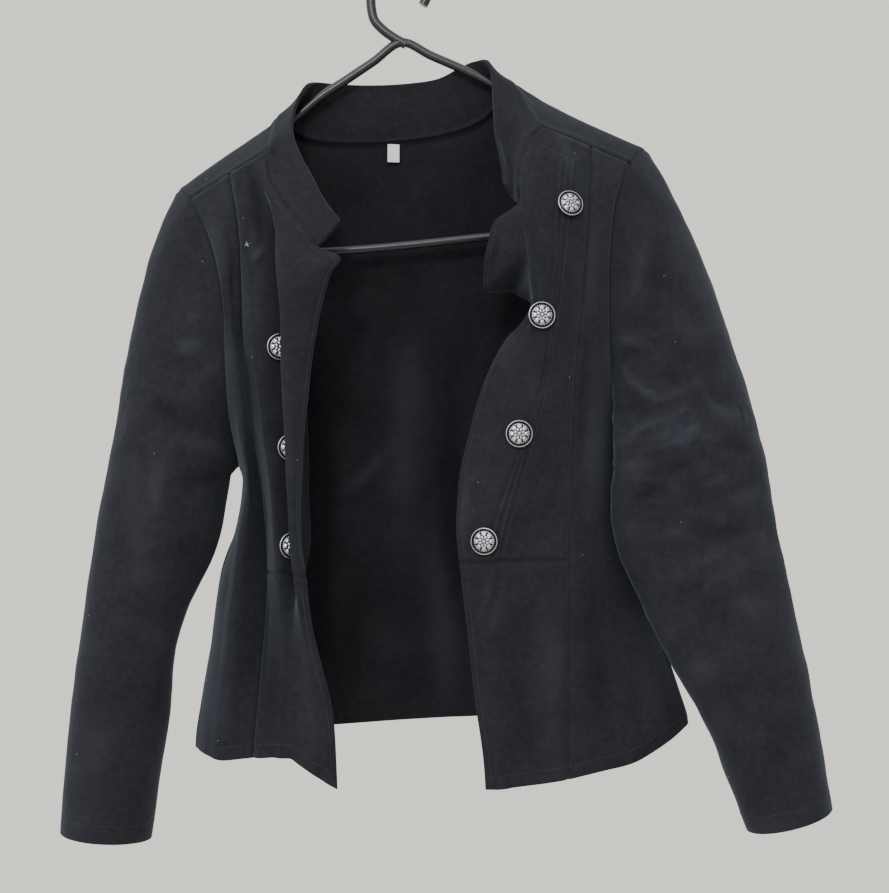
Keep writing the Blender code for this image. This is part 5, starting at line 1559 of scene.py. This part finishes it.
@dataclass
class Hanger:
    """The moulded hanger: a closed tube frame with a bar, and its hook."""

    tube: float = 3.75
    hook: float = 4.05

    def path(self, name: str, places: list, closed: bool, radius: float) -> bpy.types.Object:
        """Smooth round tube in the hanger's plane.

        Args:
            name: name of the tube.
            places: measured places along it, across and down.
            closed: True where its end meets its start.
            radius: its radius in mm.

        Returns:
            The tube.
        """
        if closed:
            places = places[-3:] + places + places[:3]
        points = np.array([SIGHT.place(a, d, 0.0) for a, d in places])
        keys = np.concatenate(([0], np.cumsum(np.linalg.norm(np.diff(points, axis=0), axis=1))))
        low, high = (keys[3], keys[-3]) if closed else (keys[0], keys[-1])
        fine = spline(keys, points, np.arange(low, high, 3.0))
        curve = bpy.data.curves.new(name, "CURVE")
        curve.dimensions = "3D"
        curve.bevel_depth = radius * MM
        curve.bevel_resolution = 6
        curve.use_fill_caps = not closed
        run = curve.splines.new("POLY")
        run.points.add(len(fine) - 1)
        for spot, point in zip(run.points, fine):
            spot.co = (*(point * MM), 1.0)
        run.use_cyclic_u = closed
        source = bpy.data.objects.new(name + "_path", curve)
        bpy.context.scene.collection.objects.link(source)
        bpy.context.view_layer.update()
        mesh = bpy.data.meshes.new_from_object(source.evaluated_get(bpy.context.evaluated_depsgraph_get()))
        bpy.data.objects.remove(source, do_unlink=True)
        mesh.polygons.foreach_set("use_smooth", [True] * len(mesh.polygons))
        obj = bpy.data.objects.new(name, mesh)
        bpy.context.scene.collection.objects.link(obj)
        return obj

    def build(self, mat: bpy.types.Material) -> None:
        """Makes the frame and the hook.

        Args:
            mat: their material.
        """
        frame = self.path("hanger_frame", ARM_R + ARM_L, True, self.tube)
        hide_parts("hanger")
        worn_by(frame, mat)
        worn_by(self.path("hanger_hook", HOOK, False, self.hook), mat)


@dataclass
class Studio:
    """Plain pale floor, one soft main light from the upper left, and the photograph's camera."""

    pale: tuple = (0.655, 0.642, 0.590)
    sky: tuple = (0.60, 0.625, 0.695)
    strength: float = 1.72
    front_share: float = 0.90
    dome: float = 2.4
    dome_towards: tuple = (-0.30, -0.62, 0.72)
    power: float = 21.0
    light_size: float = 0.30
    light_from: tuple = (-0.21, -1.0, 0.46)
    light_away: float = 2.6
    aim: tuple = (0.04, 0.0, -0.38)
    floor_level: float = -1.25
    floor_half: float = 1.1

    def build(self) -> None:
        """Makes the room, the light, the floor and the camera."""
        self.room()
        self.lamp()
        self.floor()
        self.camera()

    def room(self) -> None:
        """Makes the world: brighter behind the garment, with a soft dome to the upper left."""
        world = bpy.data.worlds.new("plain_room")
        bpy.context.scene.world = world
        world.use_nodes = True
        nodes, links = world.node_tree.nodes, world.node_tree.links
        way = nodes.new("ShaderNodeTexCoord").outputs["Generated"]
        parts = nodes.new("ShaderNodeSeparateXYZ")
        links.new(way, parts.inputs["Vector"])
        above = nodes.new("ShaderNodeVectorMath")
        above.operation = "DOT_PRODUCT"
        above.inputs[1].default_value = self.dome_towards
        links.new(way, above.inputs[0])
        share = nodes.new("ShaderNodeMapRange")
        share.inputs["From Min"].default_value = 0.15
        share.inputs["From Max"].default_value = 0.95
        links.new(above.outputs["Value"], share.inputs["Value"])
        tint = nodes.new("ShaderNodeMix")
        tint.data_type = "RGBA"
        tint.inputs[6].default_value = (*self.pale, 1.0)
        tint.inputs[7].default_value = (*self.sky, 1.0)
        links.new(share.outputs["Result"], tint.inputs["Factor"])
        links.new(tint.outputs[2], nodes["Background"].inputs["Color"])
        behind = nodes.new("ShaderNodeMapRange")
        behind.inputs["From Min"].default_value = -0.3
        behind.inputs["From Max"].default_value = 0.75
        behind.inputs["To Min"].default_value = self.front_share
        behind.inputs["To Max"].default_value = self.strength
        links.new(parts.outputs["Y"], behind.inputs["Value"])
        total = nodes.new("ShaderNodeMath")
        total.operation = "MULTIPLY_ADD"
        total.inputs[1].default_value = self.dome
        links.new(share.outputs["Result"], total.inputs[0])
        links.new(behind.outputs["Result"], total.inputs[2])
        links.new(total.outputs["Value"], nodes["Background"].inputs["Strength"])

    def lamp(self) -> None:
        """Hangs the main light before the garment, turned to its middle."""
        light = bpy.data.lights.new("window_light", "AREA")
        light.size = self.light_size
        light.energy = self.power
        lamp = bpy.data.objects.new("window_light", light)
        lamp.location = Vector(self.aim) + Vector(self.light_from).normalized() * self.light_away
        lamp.rotation_euler = (Vector(self.aim) - lamp.location).to_track_quat("-Z", "Y").to_euler()
        bpy.context.scene.collection.objects.link(lamp)

    def floor(self) -> None:
        """Lays the plain pale floor."""
        bm = bmesh.new()
        bmesh.ops.create_grid(bm, x_segments=1, y_segments=1, size=self.floor_half)
        bmesh.ops.translate(bm, vec=(0, 0, self.floor_level), verts=bm.verts)
        mesh = bpy.data.meshes.new("floor")
        bm.to_mesh(mesh)
        bm.free()
        floor = bpy.data.objects.new("floor", mesh)
        bpy.context.scene.collection.objects.link(floor)
        mat, nodes, links, shader = material("pale_floor")
        speckle = texture(nodes, links, nodes.new("ShaderNodeTexCoord"), 90.0, 3.0)
        links.new(ramp(nodes, links, speckle, 0.3, 0.7, (0.60, 0.59, 0.56, 1), (0.64, 0.63, 0.60, 1)),
                  shader.inputs["Base Color"])
        shader.inputs["Roughness"].default_value = 0.8
        floor.data.materials.append(mat)

    def camera(self) -> None:
        """Puts the camera where the photograph's was."""
        lens = bpy.data.cameras.new("camera")
        lens.lens = SIGHT.lens
        lens.sensor_width = SIGHT.sensor
        camera = bpy.data.objects.new("camera", lens)
        camera.location = Vector(SIGHT.eye) * MM
        camera.rotation_euler = (math.radians(90), 0, 0)
        bpy.context.scene.collection.objects.link(camera)
        bpy.context.scene.camera = camera


# Rows of stitches: piece, edge and distance from it in mm
STITCHES = {"hem_stitches": [("back", Edge.BOTTOM, 12.0), ("peplum_r", Edge.BOTTOM, 11.0),
                             ("peplum_l", Edge.BOTTOM, 11.0), ("side_front_r", Edge.BOTTOM, 11.0),
                             ("side_front_l", Edge.BOTTOM, 11.0)],
            "cuff_stitches": [("sleeve_r", Edge.BOTTOM, 14.0), ("sleeve_l", Edge.BOTTOM, 14.0)],
            "edge_stitches": [("front_centre_r", Edge.END, 5.0), ("peplum_r", Edge.END, 5.0),
                              ("front_centre_l", Edge.END, 5.0), ("peplum_l", Edge.END, 5.0)],
            "collar_stitches": [("collar", Edge.BOTTOM, 4.0), ("collar", Edge.START, 4.0),
                                ("collar", Edge.END, 4.0)]}


@dataclass
class Blazer:
    """The sewn garment: every cut piece as a shell, its bands, buttons, tab and stitches."""

    pattern: Pattern
    cloth: bpy.types.Material
    wrong_side_and_shade: bpy.types.Material
    thread: bpy.types.Material
    silver: bpy.types.Material
    tape: bpy.types.Material
    shells: dict[str, Shell] = field(default_factory=dict)

    def cut(self) -> None:
        """Cuts every piece from the pattern as a fine shell and joins the seam lines."""
        grids, outside = self.pattern.grids, self.pattern.outside
        for s in ("r", "l"):
            whole, way = grids["front_" + s], outside["front_" + s]
            self.add(Shell("front_centre_" + s, whole, way, SPACING["front_centre"], even=False,
                           rows=(0, WAIST), seams=(Edge.TOP, Edge.START, Edge.BOTTOM)))
            self.add(Shell("peplum_" + s, whole, way, SPACING["peplum"], even=False,
                           rows=(WAIST, HEM), seams=(Edge.TOP, Edge.START)))
            self.add(Shell("side_front_" + s, grids["side_front_" + s], outside["side_front_" + s],
                           SPACING["side_front"], even=False, seams=(Edge.TOP, Edge.START, Edge.END)))
            self.add(Shell("sleeve_" + s, grids["sleeve_" + s], outside["sleeve_" + s],
                           SPACING["sleeve"], ring=True, seams=(Edge.TOP,)))
        self.add(Shell("back", grids["back"], outside["back"], SPACING["back"],
                       seams=(Edge.TOP, Edge.START, Edge.END)))
        self.add(Shell("collar", grids["collar"], outside["collar"], SPACING["collar"],
                       seams=(Edge.TOP,)))
        self.join(CUT_REACH)

    def join(self, reach: float) -> None:
        """Brings the edges of neighbouring pieces onto one line.

        Args:
            reach: how far into a piece the move fades, in mm.
        """
        back = self.shells["back"]
        for s, edge in (("r", Edge.START), ("l", Edge.END)):
            side, centre = self.shells["side_front_" + s], self.shells["front_centre_" + s]
            peplum = self.shells["peplum_" + s]
            peplum.meet(Edge.TOP, centre.edge_points(Edge.BOTTOM), reach)
            side.meet(Edge.START, np.vstack((centre.points[:, 0], peplum.points[1:, 0])), reach)
            low = side.row_at >= ARMPIT
            start = int(np.searchsorted(back.row_at, BACK_ARMPIT))
            back.meet(edge, side.points[low, -1], reach, start)
            arm = back.edge_points(edge)[:start]
            loop = np.vstack((side.points[~low, -1], side.points[low, -1][:1], arm[::-1]))
            self.shells["sleeve_" + s].meet(Edge.TOP, loop, reach)

    def add(self, shell: Shell) -> None:
        """Keeps a shell by its name."""
        self.shells[shell.name] = shell

    def crease(self) -> None:
        """Puts the creases, the seams' grooves and the low ripples into every shell."""
        for name, *row in CREASES:
            self.shells[name].crease(tuple(row))
        for k, shell in enumerate(self.shells.values()):
            for size, height, seed, step in RIPPLES:
                shell.ripple(size, height, seed + step * k)
            for edge in shell.seams:
                shell.groove(edge)
        for name, *row in SLEEVE_RIPPLES:
            self.shells[name].ripple(*row)
        for name, *row in CRUMPLES:
            self.shells[name].crumple(*row)
        self.join(CREASED_REACH)

    def bands(self) -> list[Shell]:
        """Cuts the raised button bands from the fronts, with the tucks of the left one.

        Returns:
            The right band and the left one.
        """
        made = []
        for s, last, lift, ease in BANDS:
            front = self.shells["front_centre_" + s]
            made.append(front.strip("band_" + s, BAND_ROWS, (BAND_FROM, last), lift, ease))
        tucks = made[1]
        high, wide = TUCK_RIDGE
        deep, beside, narrow = TUCK_FURROW
        for inset in TUCKS:
            tucks.lift(high * np.exp(-((tucks.far[Edge.START] - inset) / wide) ** 2))
            tucks.lift(-deep * np.exp(-((tucks.far[Edge.START] - inset - beside) / narrow) ** 2))
        return made

    def sew(self) -> None:
        """Makes every shell's mesh, and stitches the hems and edges."""
        for shell in self.shells.values():
            obj = shell.build(COLLAR_THICK if shell.name == "collar" else CLOTH_THICK)
            obj.name = "cloth_" + shell.name
            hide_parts(shell.name)
            worn_by(obj, self.cloth)
            # The inner faces and the rims take the darker wrong side: the cloth's back, with less nap and
            # sheen, and partly painted shade for the garment's inside and for the rims at seams and edges
            if shell.name != "collar":
                obj.data.materials.append(self.wrong_side_and_shade)
                obj.modifiers["thickness"].material_offset = 1
                obj.modifiers["thickness"].material_offset_rim = 1
        for shell in self.bands():
            obj = shell.build(BAND_THICK)
            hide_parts("button_" + shell.name)
            worn_by(obj, self.cloth)
            # A band's rims take the darker wrong side too, as painted shade along its edges
            obj.data.materials.append(self.wrong_side_and_shade)
            obj.modifiers["thickness"].material_offset_rim = 1
        for name, edges in STITCHES.items():
            row = StitchRow(name)
            for piece, edge, inset in edges:
                row.lines.append(self.shells[piece].stitched(edge, inset))
            worn_by(row.build(), self.thread)

    def loose(self, pale: bpy.types.Material) -> None:
        """Leaves the missing button's thread ends on the right front, and lint all over.

        Args:
            pale: finish of the thread ends and of the lint.
        """
        ends = StitchRow("thread_ends", long=1.8, pitch=2.2, radius=0.3)
        spot, face = self.shells["front_centre_r"].spot(*THREAD_ENDS)
        for way in (np.array((1.0, 0.0, 0.4)), np.array((0.5, 0.0, -1.0))):
            run = unit(way - face * np.dot(way, face)) * END_HALF
            ends.lines.append((np.array((spot - run, spot, spot + run)), np.array([face] * 3)))
        worn_by(ends.build(), pale)
        flecks = StitchRow("lint", long=0.9, pitch=1.0, radius=0.17)
        scatter = np.random.default_rng(LINT_SEED)
        for name, count in LINT.items():
            shell = self.shells[name]
            rows, columns = shell.hold.shape
            for _ in range(count):
                at = (scatter.integers(LINT_MARGIN, rows - LINT_MARGIN),
                      scatter.integers(LINT_MARGIN, columns - LINT_MARGIN))
                spot, face = shell.points[at], shell.normals[at]
                run = unit(np.cross(face, scatter.normal(size=3))) * FLECK_HALF
                flecks.lines.append((np.array((spot - run, spot, spot + run)), np.array([face] * 3)))
        worn_by(flecks.build(), pale)

    def trim(self) -> None:
        """Adds the buttons and the bare tab at the neck."""
        for name in BUTTONS:
            worn_by(Rosette(name).build(), self.silver)
        spot = self.pattern.grids["back"][TAB_AT]
        corner, across, down = np.array(TAB_CORNER), np.array(TAB_ACROSS), np.array(TAB_DOWN)
        steps = np.array([[corner + down * i + across * j for j in range(3)] for i in range(4)])
        tab = Shell("bare_tab", spot + steps, -1.0, SPACING["bare_tab"])
        tab.ripple(*TAB_RIPPLE)
        obj = tab.build(TAB_THICK)
        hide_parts("size_label")
        worn_by(obj, self.tape)


def main() -> None:
    """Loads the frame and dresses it."""
    logging.basicConfig(level=logging.INFO, format="%(message)s")
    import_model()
    # The darker wrong side: the cloth's back, with less nap and sheen, and partly painted shade for the
    # garment's inside
    wrong_side_and_shade = Cloth(name="cloth_wrong_side", deep=(0.0108, 0.0107, 0.0125, 1.0),
                       pale=(0.0150, 0.0149, 0.0174, 1.0), sheen=0.04)
    blazer = Blazer(Pattern().draft(), Cloth().make(), wrong_side_and_shade.make(), Thread().make(),
                    Silver().make(), Tape().make())
    blazer.cut()
    blazer.crease()
    blazer.sew()
    blazer.trim()
    blazer.loose(Thread(name="pale_thread", colour=(0.30, 0.30, 0.31, 1.0)).make())
    Hanger().build(Plastic().make())
    Studio().build()
    bpy.context.view_layer.update()


if __name__ == "__main__":
    main()
